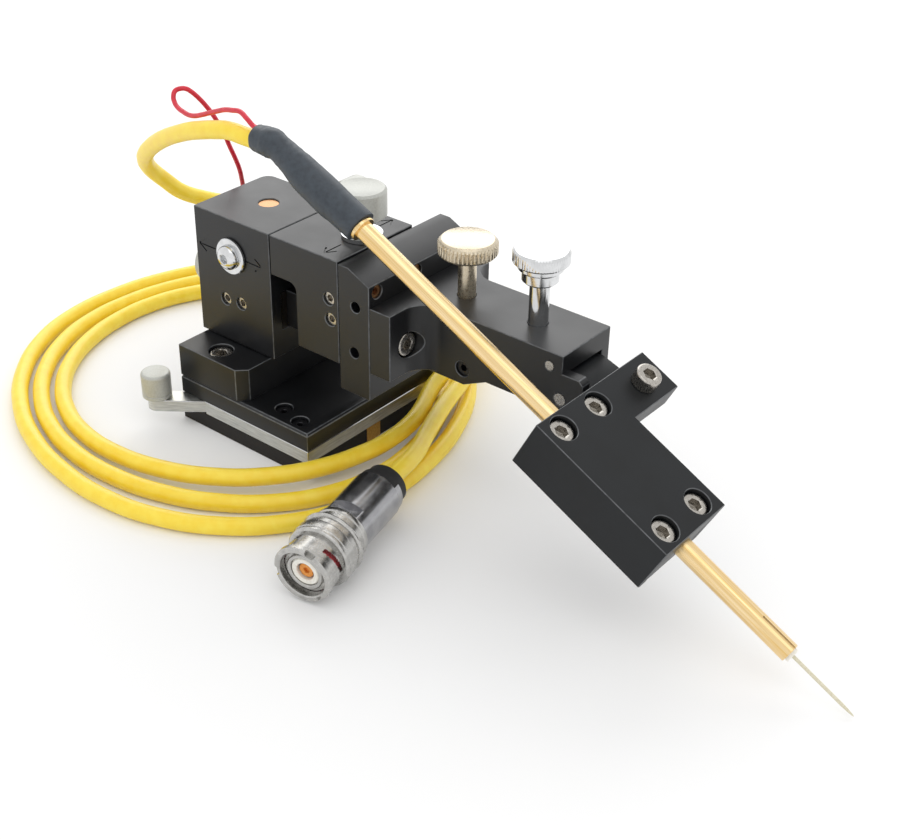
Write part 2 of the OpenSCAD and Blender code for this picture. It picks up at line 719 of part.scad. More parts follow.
module y_end_screw() color("#d4d5d6") placed()
    translate([y_axis_x, block_y - y_washer_t - thrust_gap, y_axis_z]) rotate([90, 0, 0])
        difference() {
            union() {
                intersection() {
                    cylinder(d = button_d, h = button_h);
                    translate([0, 0, button_h - button_d]) sphere(r = button_d);
                }
                translate([0, 0, -button_pin_l]) cylinder(d = button_pin_d, h = button_pin_l + button_h / 2);
            }
            translate([0, 0, button_h]) key_cut(button_key, button_h * 0.6);
        }

// Left block
module front_mark(x, dir) {
    translate([x, block_y - over, y_axis_z]) for (a = [-35, 35]) rotate([0, a, 0])
        translate([dir > 0 ? -mark_l : 0, 0, -mark_t / 2]) cube([mark_l, over + mark_depth, mark_t]);
}
module left_block() color("#202022") placed() difference() {
    translate([0, 0, block_z]) linear_extrude(block_h) {
        translate([block_x, block_y]) square([block_w, block_d - block_corner]);
        translate([block_x + block_corner, block_y]) square([block_w - block_corner, block_d]);
        translate([block_x + block_corner, block_y1 - block_corner]) circle(r = block_corner);
    }
    // channel for the rail
    translate([rail_x, block_y1 + over, guide_top]) rotate([90, 0, 0])
        linear_extrude(block_d - y_wall + over) polygon([
            [-rail_root_w / 2 - slide_gap, -over], [rail_root_w / 2 + slide_gap, -over],
            [rail_root_w / 2 + slide_gap, 0],
            [rail_top_w / 2 + slide_gap, rail_h], [rail_top_w / 2 + slide_gap, rail_h + slide_gap],
            [-rail_top_w / 2 - slide_gap, rail_h + slide_gap], [-rail_top_w / 2 - slide_gap, rail_h],
            [-rail_root_w / 2 - slide_gap, 0]]);
    // channel for the X tongue and its gib
    box(block_x + end_wall, block_x1 + over, chan_y, chan_y1,
        column_z - slide_gap, column_z + tongue_h + slide_gap);
    xcyl(x_axis_y, x_axis_z, block_x - over, block_x + end_wall + over, drive_d + 2 * drive_gap);
    // Y screw and nut
    ycyl(y_axis_x, y_axis_z, block_y - over, block_y1 + over, drive_d + 2 * drive_gap);
    zcyl(y_axis_x, nut_y, y_axis_z - nut_below, block_top + over, nut_d + 2 * seat_gap);
    for (q = x_set_at) ycyl(block_x + q[0], block_z + q[1], block_y - over, chan_y + over,
        set_d + 2 * seat_gap);
    // engraved arrow each side of the washer
    box(block_x + front_mark_x[0], block_x + front_mark_x[0] + front_mark_w, block_y - over,
        block_y + mark_depth, y_axis_z - mark_t / 2, y_axis_z + mark_t / 2);
    front_mark(block_x + front_mark_x[0], -1);
    box(block_x + front_mark_x[1] - front_mark_w / 2, block_x + front_mark_x[1] + front_mark_w / 2,
        block_y - over, block_y + mark_depth, y_axis_z - mark_t / 2, y_axis_z + mark_t / 2);
    front_mark(block_x + front_mark_x[1] + front_mark_w / 2, 1);
}
module y_nut() color("#b98a4a") placed() difference() {
    zcyl(y_axis_x, nut_y, y_axis_z - nut_below + seat_gap, block_top - nut_sink, nut_d);
    ycyl(y_axis_x, y_axis_z, nut_y - nut_d, nut_y + nut_d, drive_d + 2 * drive_gap);
}
module x_gib() color("#2b2b2c") placed()
    box(block_x + end_wall + 2 * thrust_t, block_x1 - seat_gap, chan_y + seat_gap, chan_y + seat_gap + gib_t,
        column_z, column_z + tongue_h);
module x_set_screws() color("#9a9b9c") placed() for (q = x_set_at)
    translate([block_x + q[0], block_y + set_sink, block_z + q[1]]) rotate([90, 0, 0])
        set_screw(set_d, front_wall - set_sink, set_key);

// X drive
module x_screw() color("#b9bab8") placed() {
    xcyl(x_axis_y, x_axis_z, block_x - x_hub_l - x_knob_h / 2, tongue_x + x_screw_in, drive_d);
    xcyl(x_axis_y, x_axis_z, block_x + end_wall + thrust_gap, block_x + end_wall + thrust_gap + thrust_t,
        thrust_d);
}
module x_knob() color("#cfd0cc") placed()
    translate([block_x - thrust_gap, x_axis_y, x_axis_z]) rotate([0, -90, 0]) difference() {
        union() {
            cylinder(d = hub_d, h = x_hub_l);
            translate([0, 0, x_hub_l - knob_bevel]) knob(drive_knob_d, x_knob_h, knob_bevel);
        }
        translate([0, 0, -over]) cylinder(d = drive_d + 2 * seat_gap, h = over + x_hub_l + x_knob_h / 2);
    }

// Column
module column_block() color("#232325") placed() difference() {
    union() {
        box(column_x, column_x1, block_y, column_y1, column_z, block_top);
        box(bridge_x, column_x + over, block_y, column_y1, bridge_z, block_top);
        box(tongue_x, column_x + over, tongue_y, tongue_y1, column_z, column_z + tongue_h);
        difference() {
            box(column_x - bridge_corner, column_x, block_y, column_y1, bridge_z - bridge_corner, bridge_z);
            ycyl(column_x - bridge_corner, bridge_z - bridge_corner, block_y - over, column_y1 + over,
                2 * bridge_corner);
        }
    }
    // nut bore for the X screw
    xcyl(x_axis_y, x_axis_z, tongue_x - over, tongue_x + x_bore_l, drive_d + 2 * drive_gap);
    // channel for the Z tongue
    box(z_chan_x, column_x1 - lip_t, block_y + front_wall, z_chan_y1, column_z - over, block_top - cap_wall);
    box(z_chan_x, column_x1 + over, mouth_y, mouth_y + mouth_w, column_z - over, block_top - cap_wall);
    zcyl(z_axis_x, z_axis_y, column_z, block_top + over, drive_d + 2 * drive_gap);
    for (q = z_set_at) ycyl(column_x + q[0], column_z + q[1], block_y - over,
        block_y + front_wall + seat_gap, set_d + 2 * seat_gap);
    // engraved double arrow on the top
    box(top_mark_x - mark_t / 2, top_mark_x + mark_t / 2, top_mark_y[0], top_mark_y[0] + front_mark_w,
        block_top - mark_depth, block_top + over);
    box(top_mark_x - mark_t / 2, top_mark_x + mark_t / 2, column_y1 - over - front_mark_w,
        column_y1 - over, block_top - mark_depth, block_top + over);
    for (a = [-35, 35]) {
        translate([top_mark_x, top_mark_y[0], block_top - mark_depth]) rotate(a)
            translate([-mark_t / 2, 0, 0]) cube([mark_t, mark_l, over]);
        translate([top_mark_x, column_y1 - over, block_top - mark_depth]) rotate(180 + a)
            translate([-mark_t / 2, 0, 0]) cube([mark_t, mark_l, over]);
    }
}
module z_gib() color("#2b2b2c") placed()
    box(z_chan_x + slide_gap, column_x1 - lip_t - slide_gap, block_y + front_wall + seat_gap,
        block_y + front_wall + seat_gap + gib_t, column_z, block_top - cap_wall - seat_gap);
module z_set_screws() color("#9a9b9c") placed() for (q = z_set_at)
    translate([column_x + q[0], block_y + set_sink, column_z + q[1]]) rotate([90, 0, 0])
        set_screw(set_d, front_wall - set_sink, set_key);

// Z drive
module z_screw() color("#b9bab8") placed() {
    zcyl(z_axis_x, z_axis_y, z_screw_low, block_top + z_washer_t + z_stem_l + z_knob_h / 2, drive_d);
    zcyl(z_axis_x, z_axis_y, block_top - cap_wall - thrust_gap - thrust_t, block_top - cap_wall - thrust_gap,
        thrust_d);
}
module z_washer() color("#c3c5c6") placed() difference() {
    zcyl(z_axis_x, z_axis_y, block_top + thrust_gap, block_top + thrust_gap + z_washer_t, z_washer_d);
    zcyl(z_axis_x, z_axis_y, block_top - over, block_top + z_washer_t + over, drive_d + 2 * seat_gap);
}
module z_knob() color("#d8d9d4") placed()
    translate([z_axis_x, z_axis_y, block_top + thrust_gap + z_washer_t]) difference() {
        union() {
            cylinder(d = z_stem_d, h = z_stem_l + knob_bevel);
            translate([0, 0, z_stem_l]) knob(drive_knob_d, z_knob_h, knob_bevel);
        }
        translate([0, 0, -over]) cylinder(d = drive_d + 2 * seat_gap, h = over + z_stem_l + z_knob_h / 2);
    }

// Riser
module riser_block() color("#202022") placed() difference() {
    union() {
        side_shape(block_y, riser_y1) riser_outline();
        // tongue
        box(column_x1 - lip_t - over, riser_x + over, mouth_y + slide_gap, mouth_y + mouth_w - slide_gap,
            z_tongue_z, z_tongue_z + z_tongue_h);
        box(z_chan_x + slide_gap, column_x1 - lip_t - slide_gap, tongue_y, z_chan_y1 - slide_gap,
            z_tongue_z, z_tongue_z + z_tongue_h);
    }
    zcyl(z_axis_x, z_axis_y, z_tongue_z - over, z_tongue_z + z_tongue_h + over, drive_d + 2 * drive_gap);
    for (q = riser_hole_at) ycyl(riser_x + q[0], riser_z + q[1], block_y - over, block_y + riser_hole_l,
        riser_hole_d);
    for (y = [side_set_y, side_screw_y]) xcyl(y, side_z, riser_x1 - side_l - set_sink, riser_x1 + over,
        set_d + 2 * seat_gap);
    for (y = wing_screw_ys) xcyl(y, wing_z + wing_screw_z, riser_x1 - wing_screw_grip - seat_gap,
        riser_x1 + over, cap_thread_d + 2 * seat_gap);
}
wing_screw_ys = [wing_y + wing_screw_y, riser_y1 - wing_screw_back];
module riser_outline() polygon([[riser_x, riser_z], [riser_x1, riser_z],
    [riser_x1, riser_top - riser_bevel_h], [riser_x1 - riser_bevel_w, riser_top], [riser_x, riser_top]]);
module riser_side_screws() color("#b3764a") placed() for (y = [side_set_y, side_screw_y])
    translate([riser_x1 - set_sink, y, side_z]) rotate([0, 90, 0])
        set_screw(set_d, side_l - seat_gap, set_key);

// Bracket arm
module arm_outline() polygon([[wing_x1 - over, arm_low], [ramp_x, arm_low], [ramp_x1, arm_tip_low],
    [arm_x1, arm_tip_low], [arm_x1, arm_top], [wing_x1 - over, arm_top]]);
module bracket_arm() color("#252628") placed() difference() {
    union() {
        box(riser_x1, wing_x1, wing_y, riser_y1, wing_z, arm_top);
        side_shape(arm_y, arm_y1) difference() {
            arm_outline();
            polygon([[wing_x1 - 2 * over, arm_low - over], [wing_x1, arm_low - over],
                [wing_x1, arm_top + over], [wing_x1 - 2 * over, arm_top + over]]);
        }
        // inside corners between wings and arm
        translate([0, 0, wing_z]) linear_extrude(wing_h) difference() {
            translate([wing_x1, arm_y - arm_fillet]) square([arm_fillet, arm_w + 2 * arm_fillet]);
            translate([wing_x1 + arm_fillet, arm_y - arm_fillet]) circle(r = arm_fillet);
            translate([wing_x1 + arm_fillet, arm_y1 + arm_fillet]) circle(r = arm_fillet);
        }
        // cheeks of the fork
        side_shape(arm_y, fork_y) polygon([[arm_x1 - over, arm_tip_low],
            [arm_x1 + cheek_l - cheek_bevel, arm_tip_low], [arm_x1 + cheek_l, arm_tip_low + cheek_bevel],
            [arm_x1 + cheek_l, cheek_top - cheek_bevel / 2], [arm_x1 + cheek_l - cheek_bevel / 2, cheek_top],
            [arm_x1 - over, cheek_top]]);
        side_shape(fork_y1, arm_y1) polygon([[arm_x1 - over, arm_tip_low],
            [arm_x1 + rear_cheek_l - cheek_bevel, arm_tip_low],
            [arm_x1 + rear_cheek_l, arm_tip_low + cheek_bevel],
            [arm_x1 + rear_cheek_l, rear_cheek_top - cheek_bevel],
            [arm_x1 + rear_cheek_l - cheek_bevel, rear_cheek_top], [arm_x1 - over, rear_cheek_top]]);
    }
    // fork pocket
    box(fork_x, arm_x1 + cheek_l + over, fork_y, fork_y1, arm_tip_low + fork_floor, arm_top - arm_plate_t);
    box(fork_floor_x1, arm_x1 + cheek_l + over, fork_y, fork_y1, arm_tip_low - over, arm_top - arm_plate_t);
    zcyl(thumb1_x, arm_mid, arm_top - thumb1_depth - pad_t - 2 * seat_gap, arm_top + over,
        thumb1_shank_d + 2 * drive_gap);
    zcyl(thumb2_x, arm_mid, arm_top - arm_plate_t - over, arm_top + over, thumb2_shank_d + 2 * drive_gap);
    ycyl(pivot_px, pivot_pz, arm_y - over, arm_y1 + over, pivot_d + 2 * seat_gap);
    ycyl(dowel_px, dowel_pz, arm_y - over, arm_y + dowel_l, dowel_d + 2 * seat_gap);
    ycyl(side_plug_x, side_plug_z, arm_y - over, arm_y + side_plug_l, side_plug_d + 2 * seat_gap);
    for (y = wing_screw_ys) {
        xcyl(y, wing_z + wing_screw_z, riser_x1 - over, wing_x1 + over, cap_thread_d + 2 * seat_gap);
        xcyl(y, wing_z + wing_screw_z, wing_x1 - cap_h - wing_screw_sink, wing_x1 + arm_fillet + over,
            cap_d + 2 * sink_gap);
    }
}
module bracket_screws() color("#9a9b9c") placed() for (y = wing_screw_ys)
    translate([wing_x1 - cap_h - wing_screw_sink, y, wing_z + wing_screw_z]) rotate([0, 90, 0])
        cap_screw(cap_d, cap_h, cap_thread_d, wing_t - cap_h - wing_screw_sink + wing_screw_grip, cap_key);
module arm_dowel() color("#8f9088") placed()
    ycyl(dowel_px, dowel_pz, arm_y + seat_gap, arm_y + dowel_l - seat_gap, dowel_d);
module pivot_pin() color("#8f9088") placed()
    ycyl(pivot_px, pivot_pz, arm_y + seat_gap, arm_y1 - seat_gap, pivot_d);
module arm_side_plug() color("#3a3b3d") placed()
    translate([side_plug_x, arm_y + set_sink, side_plug_z]) rotate([90, 0, 0])
        set_screw(side_plug_d, side_plug_l - set_sink - seat_gap, set_key);

// Thumb screws
module thumb_screw_warm() color("#c9bca4") placed() translate([thumb1_x, arm_mid, arm_top]) {
    translate([0, 0, -thumb1_depth])
        cylinder(d = thumb1_shank_d, h = thumb1_depth + thumb1_rise - thumb1_h / 2);
    translate([0, 0, thumb1_rise - thumb1_h])
        knob(thumb1_d, thumb1_h, knob_bevel);
}
module thumb_pad() color("#b08d45") placed()
    zcyl(thumb1_x, arm_mid, arm_top - thumb1_depth - pad_t - seat_gap, arm_top - thumb1_depth - seat_gap,
        pad_d);
module thumb_screw_bright() color("#d3d5d6") placed() translate([thumb2_x, arm_mid, arm_top]) {
    translate([0, 0, -thumb2_tip]) cylinder(d = thumb2_shank_d, h = thumb2_tip + thumb2_rise - thumb2_h / 2);
    translate([0, 0, thumb2_rise - thumb2_h])
        knob(thumb2_d, thumb2_h, knob_bevel);
    translate([0, 0, thumb2_rise - thumb2_h - thumb_neck_h])
        cylinder(d = thumb_neck_d, h = thumb_neck_h + knob_bevel);
    translate([0, 0, thumb2_rise - thumb2_h - thumb_neck_h - thumb_collar_h])
        cylinder(d = thumb_collar_d, h = thumb_collar_h + knob_bevel);
}

// Tilt lever and clamp
nose_under = slab_t + seat_gap;
module tilt_lever() color("#1b1c1e") placed() difference() {
    union() {
        side_shape(fork_y + lever_gap, fork_y1 - lever_gap) polygon([
            [tail_x, tail_z], [pivot_px - 2 * pivot_d, tail_z], [pivot_px - pivot_d, nose_low],
            [nose_x + cheek_l, nose_low - cheek_bevel / 2], clamp_point(ear_l * 0.8, -nose_under - over),
            clamp_point(ear_l * 0.8, -nose_under), clamp_point(-0.6 * over, -nose_under),
            [pivot_px + over, tail_top], [tail_x, tail_top]]);
        side_shape(nose_y, fork_y1 - lever_gap) polygon([
            [nose_x, nose_low], [nose_x + cheek_l, nose_low - cheek_bevel / 2],
            clamp_point(ear_l * 0.8, -nose_under - over), clamp_point(ear_l * 0.8, -nose_under),
            clamp_point(-0.2 * over, -nose_under), [nose_x, cheek_top - 2 * cheek_bevel]]);
    }
    ycyl(pivot_px, pivot_pz, arm_y - over, arm_y1 + over, pivot_d + 2 * drive_gap);
    clamp_frame() translate([ear_screw_s, ear_screw_y, -slab_t - ear_screw_l - seat_gap])
        cylinder(d = cap_thread_d + 2 * seat_gap, h = ear_screw_l + over);
}
module clamp_body() color("#26282a") placed() clamp_frame() difference() {
    union() {
        translate([0, 0, -clamp_t]) cube([clamp_l, clamp_w, clamp_t]);
        translate([0, clamp_w - over, -slab_t]) cube([ear_l, ear_w + over, slab_t]);
    }
    translate([-over, clamp_wall, -clamp_t - over]) cube([clamp_l + 2 * over, clamp_w - 2 * clamp_wall,
        clamp_t - slab_t + over]);
    xcyl(tube_y, tube_z, -over, clamp_l + over, tube_d + 2 * seat_gap);
    for (s = clamp_screw_s) for (d = [-1, 1]) translate([s, tube_y + d * clamp_screw_off, 0]) {
        zcyl(0, 0, -slab_t - over, over, cap_thread_d + 2 * seat_gap);
        zcyl(0, 0, -clamp_sink - cap_h, over, cap_d + sink_gap);
    }
    zcyl(ear_screw_s, ear_screw_y, -slab_t - over, over, cap_thread_d + 2 * seat_gap);
}
module clamp_bar() color("#26282a") placed() clamp_frame() difference() {
    translate([bar_gap, clamp_wall + bar_gap, -clamp_t + bar_gap])
        cube([clamp_l - 2 * bar_gap, clamp_w - 2 * clamp_wall - 2 * bar_gap,
            clamp_t - slab_t - 2 * bar_gap]);
    xcyl(tube_y, tube_z, -over, clamp_l + over, tube_d + 2 * seat_gap);
    for (s = clamp_screw_s) for (d = [-1, 1]) zcyl(s, tube_y + d * clamp_screw_off,
        -clamp_sink - cap_h - clamp_screw_l - seat_gap, -slab_t + over, cap_thread_d + 2 * seat_gap);
}
module clamp_screws() color("#a3a3a2") placed() clamp_frame()
    for (s = clamp_screw_s) for (d = [-1, 1])
        translate([s, tube_y + d * clamp_screw_off, -clamp_sink - cap_h])
            cap_screw(cap_d, cap_h, cap_thread_d, clamp_screw_l, cap_key);
module ear_screw() color("#a3a3a2") placed() clamp_frame()
    translate([ear_screw_s, ear_screw_y, 0])
        cap_screw(cap_d, cap_h, cap_thread_d, slab_t + ear_screw_l, cap_key);

// Probe
module probe_tube() color("#c79a52") placed() clamp_frame() difference() {
    union() {
        xcyl(tube_y, tube_z, -tube_up, tube_down, tube_d);
        xcyl(tube_y, tube_z, -tube_up, -tube_up + rim_t, rim_d);
    }
    xcyl(tube_y, tube_z, -tube_up - over, tube_down + over, tube_bore);
    translate([tube_down - slit_l, tube_y - slit_w / 2, tube_z]) cube([slit_l + over, slit_w, tube_d]);
}
module probe_core() color("#e8ddc4") placed() clamp_frame() difference() {
    xcyl(tube_y, tube_z, -tube_up, tube_down + core_out, tube_bore - 2 * core_gap);
    xcyl(tube_y, tube_z, tube_down - needle_in, tube_down + over + core_out, needle_d + 2 * core_gap);
}
module needle() color("#d9d2bd") placed() clamp_frame()
    xcyl(tube_y, tube_z, tube_down - needle_in + core_gap, tube_down + needle_out, needle_d);
sleeve_start = clamp_point(-tube_up - seat_gap, tube_z);
sleeve_path = concat([[sleeve_start[0], clamp_y + tube_y, sleeve_start[1]],
    [clamp_point(-tube_up - over, tube_z)[0], clamp_y + tube_y, clamp_point(-tube_up - over, tube_z)[1]]],
    sleeve_route);
module shrink_sleeve() color("#2c3440") placed()
    sweep(sleeve_path, concat([0.94, 0.95] * sleeve_d / 2, [for (q = sleeve_shares) q * sleeve_d / 2]), 16);

// Cable
function smooth(v) = let (u = min(max(v, 0), 1)) u * u * (3 - 2 * u);
// place on loop k at the turn a: its right, back, left and front quarters reach out differently
function loop_at(k, a) = let (q = loops[k], c = cos(a), s = sin(a))
    [q[0] + (loop_half_w + (c > 0 ? q[2] : q[4])) * c + q[6] * s,
        q[1] + (loop_half_d + (s > 0 ? q[3] : q[5])) * s];
// the coil changes to the next loop inwards in each turn, in the hidden back stretch
function loop_out(a) = 2 - smooth((a - 360 - loop_shift_from) / loop_shift_for)
    - smooth((a - 720 - loop_shift_from) / loop_shift_for);
function loop_point(a) = let (out = loop_out(a), low = min(floor(out), 1), share = out - low,
        extra = loop_in_extra * (1 - smooth((a - loop_first) / loop_shift_for)),
        p = (1 - share) * loop_at(low, a) + share * loop_at(low + 1, a),
        lift = loop_lift * smooth((a - loop_lift_from) / loop_lift_for))
    [p[0] + extra * cos(a), p[1] + extra * sin(a), cable_d / 2] + lift * loop_lift_out;
loop_count = round((loop_last - loop_first) / ring_turn);
loop_path = [for (i = [0 : loop_count]) loop_point(loop_first + (loop_last - loop_first) * i / loop_count)];
loop_skip = 12;
function from_line(p, a, b) = let (t = min(max((p - a) * (b - a) / ((b - a) * (b - a)), 0), 1))
    norm(p - a - t * (b - a));
loop_least = min([for (i = [0 : loop_count]) for (j = [0 : loop_count - 1]) if (abs(j - i) > loop_skip)
    from_line(loop_path[i], loop_path[j], loop_path[j + 1])]) - cable_d;
echo("least gap between cable loops, mm", loop_least);
echo("loops start and end", loop_path[0], loop_path[loop_count]);
module cable_lead() color("#f0c818") placed() bar(lead_route, cable_d, 8);
module cable_rise() color("#f0c818") placed()
    bar(concat(rise_route, [loop_path[loop_count]]), cable_d, 8);
module cable_loops() color("#f0c818") placed() bar(loop_path, cable_d, loop_sides);
module cable_tail() color("#f0c818") placed() bar(concat(tail_route, [loop_path[0]]), cable_d, 8);
module earth_wire() color("#d2384a") placed() bar(wire_route, wire_d, 8);
module wire_tip() color("#b9bab8") placed() {
    last = wire_route[len(wire_route) - 1];
    along = unit(last - wire_route[len(wire_route) - 2]);
    bar([last, last + wire_tip_l * along], wire_tip_d, 8);
}

// Plug, z forward from its rear face
module ring(z0, z1, outer, inner) {
    difference() {
        translate([0, 0, z0]) cylinder(d = outer, h = z1 - z0);
        translate([0, 0, z0 - over]) cylinder(d = inner, h = z1 - z0 + 2 * over);
    }
}
module plug_bush() color("#1a1a1b") placed() plug_frame() cylinder(d = bush_d, h = bush_l);
module plug_shell() color("#6d7074") placed() plug_frame() difference() {
    translate([0, 0, bush_l]) cylinder(d = plug_shell_d, h = shell_l);
    // wrench flats above and below, beside the collar
    for (m = [0, 1]) mirror([0, m, 0])
        translate([-plug_shell_d, plug_shell_d / 2 - shell_flat, nut2_z - shell_flat_l])
            cube([2 * plug_shell_d, plug_shell_d, shell_flat_l + over]);
}
module plug_nut() color("#b9babb") placed() plug_frame()
    translate([0, 0, nut2_z]) cylinder(d = nut2_d, h = nut2_l);
module plug_body() color("#b9babb") placed() plug_frame() {
    translate([0, 0, coupling_z]) cylinder(d = plug_core_d, h = coupling_l);
    ring(coupling_z + coupling_l / 2, plug_l - over, plug_core_d, plug_core_d - 2 * plug_wall);
}
module plug_seal() color("#c0503a") placed() plug_frame()
    ring(front_z + over / 2, front_z + over / 2 + seal_l,
        front_sleeve_d - 2 * plug_wall - 2 * seat_gap, plug_core_d + 2 * seat_gap);
module plug_ring() color("#c6c7c8") placed() plug_frame() difference() {
    union() {
        ring(coupling_z + seat_gap, front_z, plug_ring_d, plug_core_d + 2 * drive_gap);
        ring(front_z - over / 2, plug_l - flange_l / 2, front_sleeve_d, front_sleeve_d - 2 * plug_wall);
        ring(plug_l - flange_l, plug_l, flange_d, front_sleeve_d - 2 * plug_wall);
    }
    // bayonet slots through the flange
    for (a = lug_at) rotate(a)
        translate([front_sleeve_d / 2 - plug_wall - over, -lug_d / 2, plug_l - flange_l / 2])
            cube([flange_d, lug_d, flange_l]);
}
// insulator with the middle contact in it
module plug_contact() color("#d2783c") placed() plug_frame() {
    insul_end = plug_l - over - insul_sink;
    difference() {
        translate([0, 0, front_z]) cylinder(d = insul_d, h = insul_end - front_z);
        translate([0, 0, front_z + over]) cylinder(d = contact_d + 2 * contact_gap, h = insul_end);
    }
    translate([0, 0, front_z + over / 2]) cylinder(d = contact_d, h = insul_end - front_z - over);
}

magnet_poles();
pole_divider();
magnet_plate();
base_deck();
deck_screws();
lever_bar();
lever_magnet();
lever_knob();
y_guide();
guide_screw();
screw_post();
post_screws();
y_screw();
y_knob();
y_washer();
y_end_screw();
left_block();
y_nut();
x_gib();
x_set_screws();
x_screw();
x_knob();
column_block();
z_gib();
z_set_screws();
z_screw();
z_washer();
z_knob();
riser_block();
riser_side_screws();
bracket_arm();
bracket_screws();
arm_dowel();
pivot_pin();
arm_side_plug();
thumb_screw_warm();
thumb_pad();
thumb_screw_bright();
tilt_lever();
clamp_body();
clamp_bar();
clamp_screws();
ear_screw();
probe_tube();
probe_core();
needle();
shrink_sleeve();
cable_lead();
cable_rise();
cable_loops();
cable_tail();
earth_wire();
wire_tip();
plug_bush();
plug_shell();
plug_nut();
plug_body();
plug_seal();
plug_ring();
plug_contact();
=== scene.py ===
"""Probe micromanipulator on a switchable magnetic base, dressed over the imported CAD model.

Places and sizes are in millimetres from the base's near left corner, as in the part's source,
and become metres in the shared frame as a piece is finished.
"""
import json
import math

import bmesh
import bpy
from mathutils import Matrix, Vector, noise


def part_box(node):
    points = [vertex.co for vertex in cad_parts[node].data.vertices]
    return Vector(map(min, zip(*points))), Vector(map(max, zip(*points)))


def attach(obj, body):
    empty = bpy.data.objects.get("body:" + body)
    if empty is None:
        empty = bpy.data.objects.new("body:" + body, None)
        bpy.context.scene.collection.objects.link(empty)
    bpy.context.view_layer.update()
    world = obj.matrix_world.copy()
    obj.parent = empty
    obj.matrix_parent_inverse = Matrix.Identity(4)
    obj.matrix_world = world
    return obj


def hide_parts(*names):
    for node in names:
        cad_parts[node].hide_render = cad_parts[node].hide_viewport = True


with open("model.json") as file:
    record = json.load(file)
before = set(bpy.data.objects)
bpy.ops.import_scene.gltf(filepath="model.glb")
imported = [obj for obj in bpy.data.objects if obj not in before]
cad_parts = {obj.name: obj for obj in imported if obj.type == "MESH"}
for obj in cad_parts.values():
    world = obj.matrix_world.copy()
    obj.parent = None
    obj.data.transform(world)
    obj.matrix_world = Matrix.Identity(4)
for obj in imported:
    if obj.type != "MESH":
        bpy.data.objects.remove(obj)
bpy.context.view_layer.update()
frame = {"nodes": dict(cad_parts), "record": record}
scene = bpy.context.scene
BODY_OF = {node: body for body, nodes in frame["record"]["behaviour"]["bodies"].items() for node in nodes}

MM = 0.001
BASE_CORNER = Vector(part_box("magnet_plate")[0].xy.to_3d())
TO_FRAME = Matrix.Translation(BASE_CORNER) @ Matrix.Scale(MM, 4)
TO_MM = TO_FRAME.inverted()


def spot(x, y, z):
    """A place in millimetres from the base corner, in metres in the shared frame."""
    return TO_FRAME @ Vector((x, y, z))


# The camera stands where the photograph was taken from
AZIMUTH = math.radians(38.472)
ELEVATION = math.radians(32.354)
ROLL = math.radians(1.173)
PICTURE_W = 900
FOCAL_PIXELS = 1490.65
SENSOR_W = 36.0
CAMERA_AT = (232.2, -192.3, 187.3)
NEAREST = 0.01
FARTHEST = 20
sight_back = Vector((math.sin(AZIMUTH) * math.cos(ELEVATION), -math.cos(AZIMUTH) * math.cos(ELEVATION),
                     math.sin(ELEVATION)))
level_right = Vector((math.cos(AZIMUTH), math.sin(AZIMUTH), 0))
level_up = sight_back.cross(level_right)
rolled_right = level_right * math.cos(ROLL) + level_up * math.sin(ROLL)
rolled_up = level_up * math.cos(ROLL) - level_right * math.sin(ROLL)
lens = bpy.data.cameras.new("camera")
lens.sensor_width = SENSOR_W
lens.lens = FOCAL_PIXELS * SENSOR_W / PICTURE_W
lens.clip_start = NEAREST
lens.clip_end = FARTHEST
camera = bpy.data.objects.new("camera", lens)
scene.collection.objects.link(camera)
camera.matrix_world = (Matrix.Translation(spot(*CAMERA_AT))
                       @ Matrix((rolled_right, rolled_up, sight_back)).transposed().to_4x4())
scene.camera = camera
scene.view_settings.view_transform = "Standard"


# Materials
def linear(colour):
    """An sRGB hex colour as linear values."""
    parts = [int(colour[i:i + 2], 16) / 255 for i in (1, 3, 5)]
    return [p / 12.92 if p <= 0.04045 else ((p + 0.055) / 1.055) ** 2.4 for p in parts] + [1.0]


def add_node(tree, kind, settings=None, links=None):
    """Adds a node; names with a capital, and numbers, are its sockets, the others its settings."""
    node = tree.nodes.new(kind)
    for name, value in (settings or {}).items():
        if isinstance(name, int) or name[0].isupper():
            node.inputs[name].default_value = value
        else:
            setattr(node, name, value)
    for name, source in (links or {}).items():
        tree.links.new(source, node.inputs[name])
    return node


def finish(name, colour, roughness, sockets=None):
    """A new material with the values that are the same all over it."""
    material = bpy.data.materials.new(name)
    material.use_nodes = True
    shader = material.node_tree.nodes["Principled BSDF"]
    shader.inputs["Base Color"].default_value = linear(colour)
    shader.inputs["Roughness"].default_value = roughness
    for socket, value in (sockets or {}).items():
        shader.inputs[socket].default_value = value
    return material


GRAIN_DETAIL = 2.0
GRAIN_HARSHNESS = 0.55
# The noise seldom leaves this stretch
GRAIN_LOW = 0.3
GRAIN_HIGH = 0.7


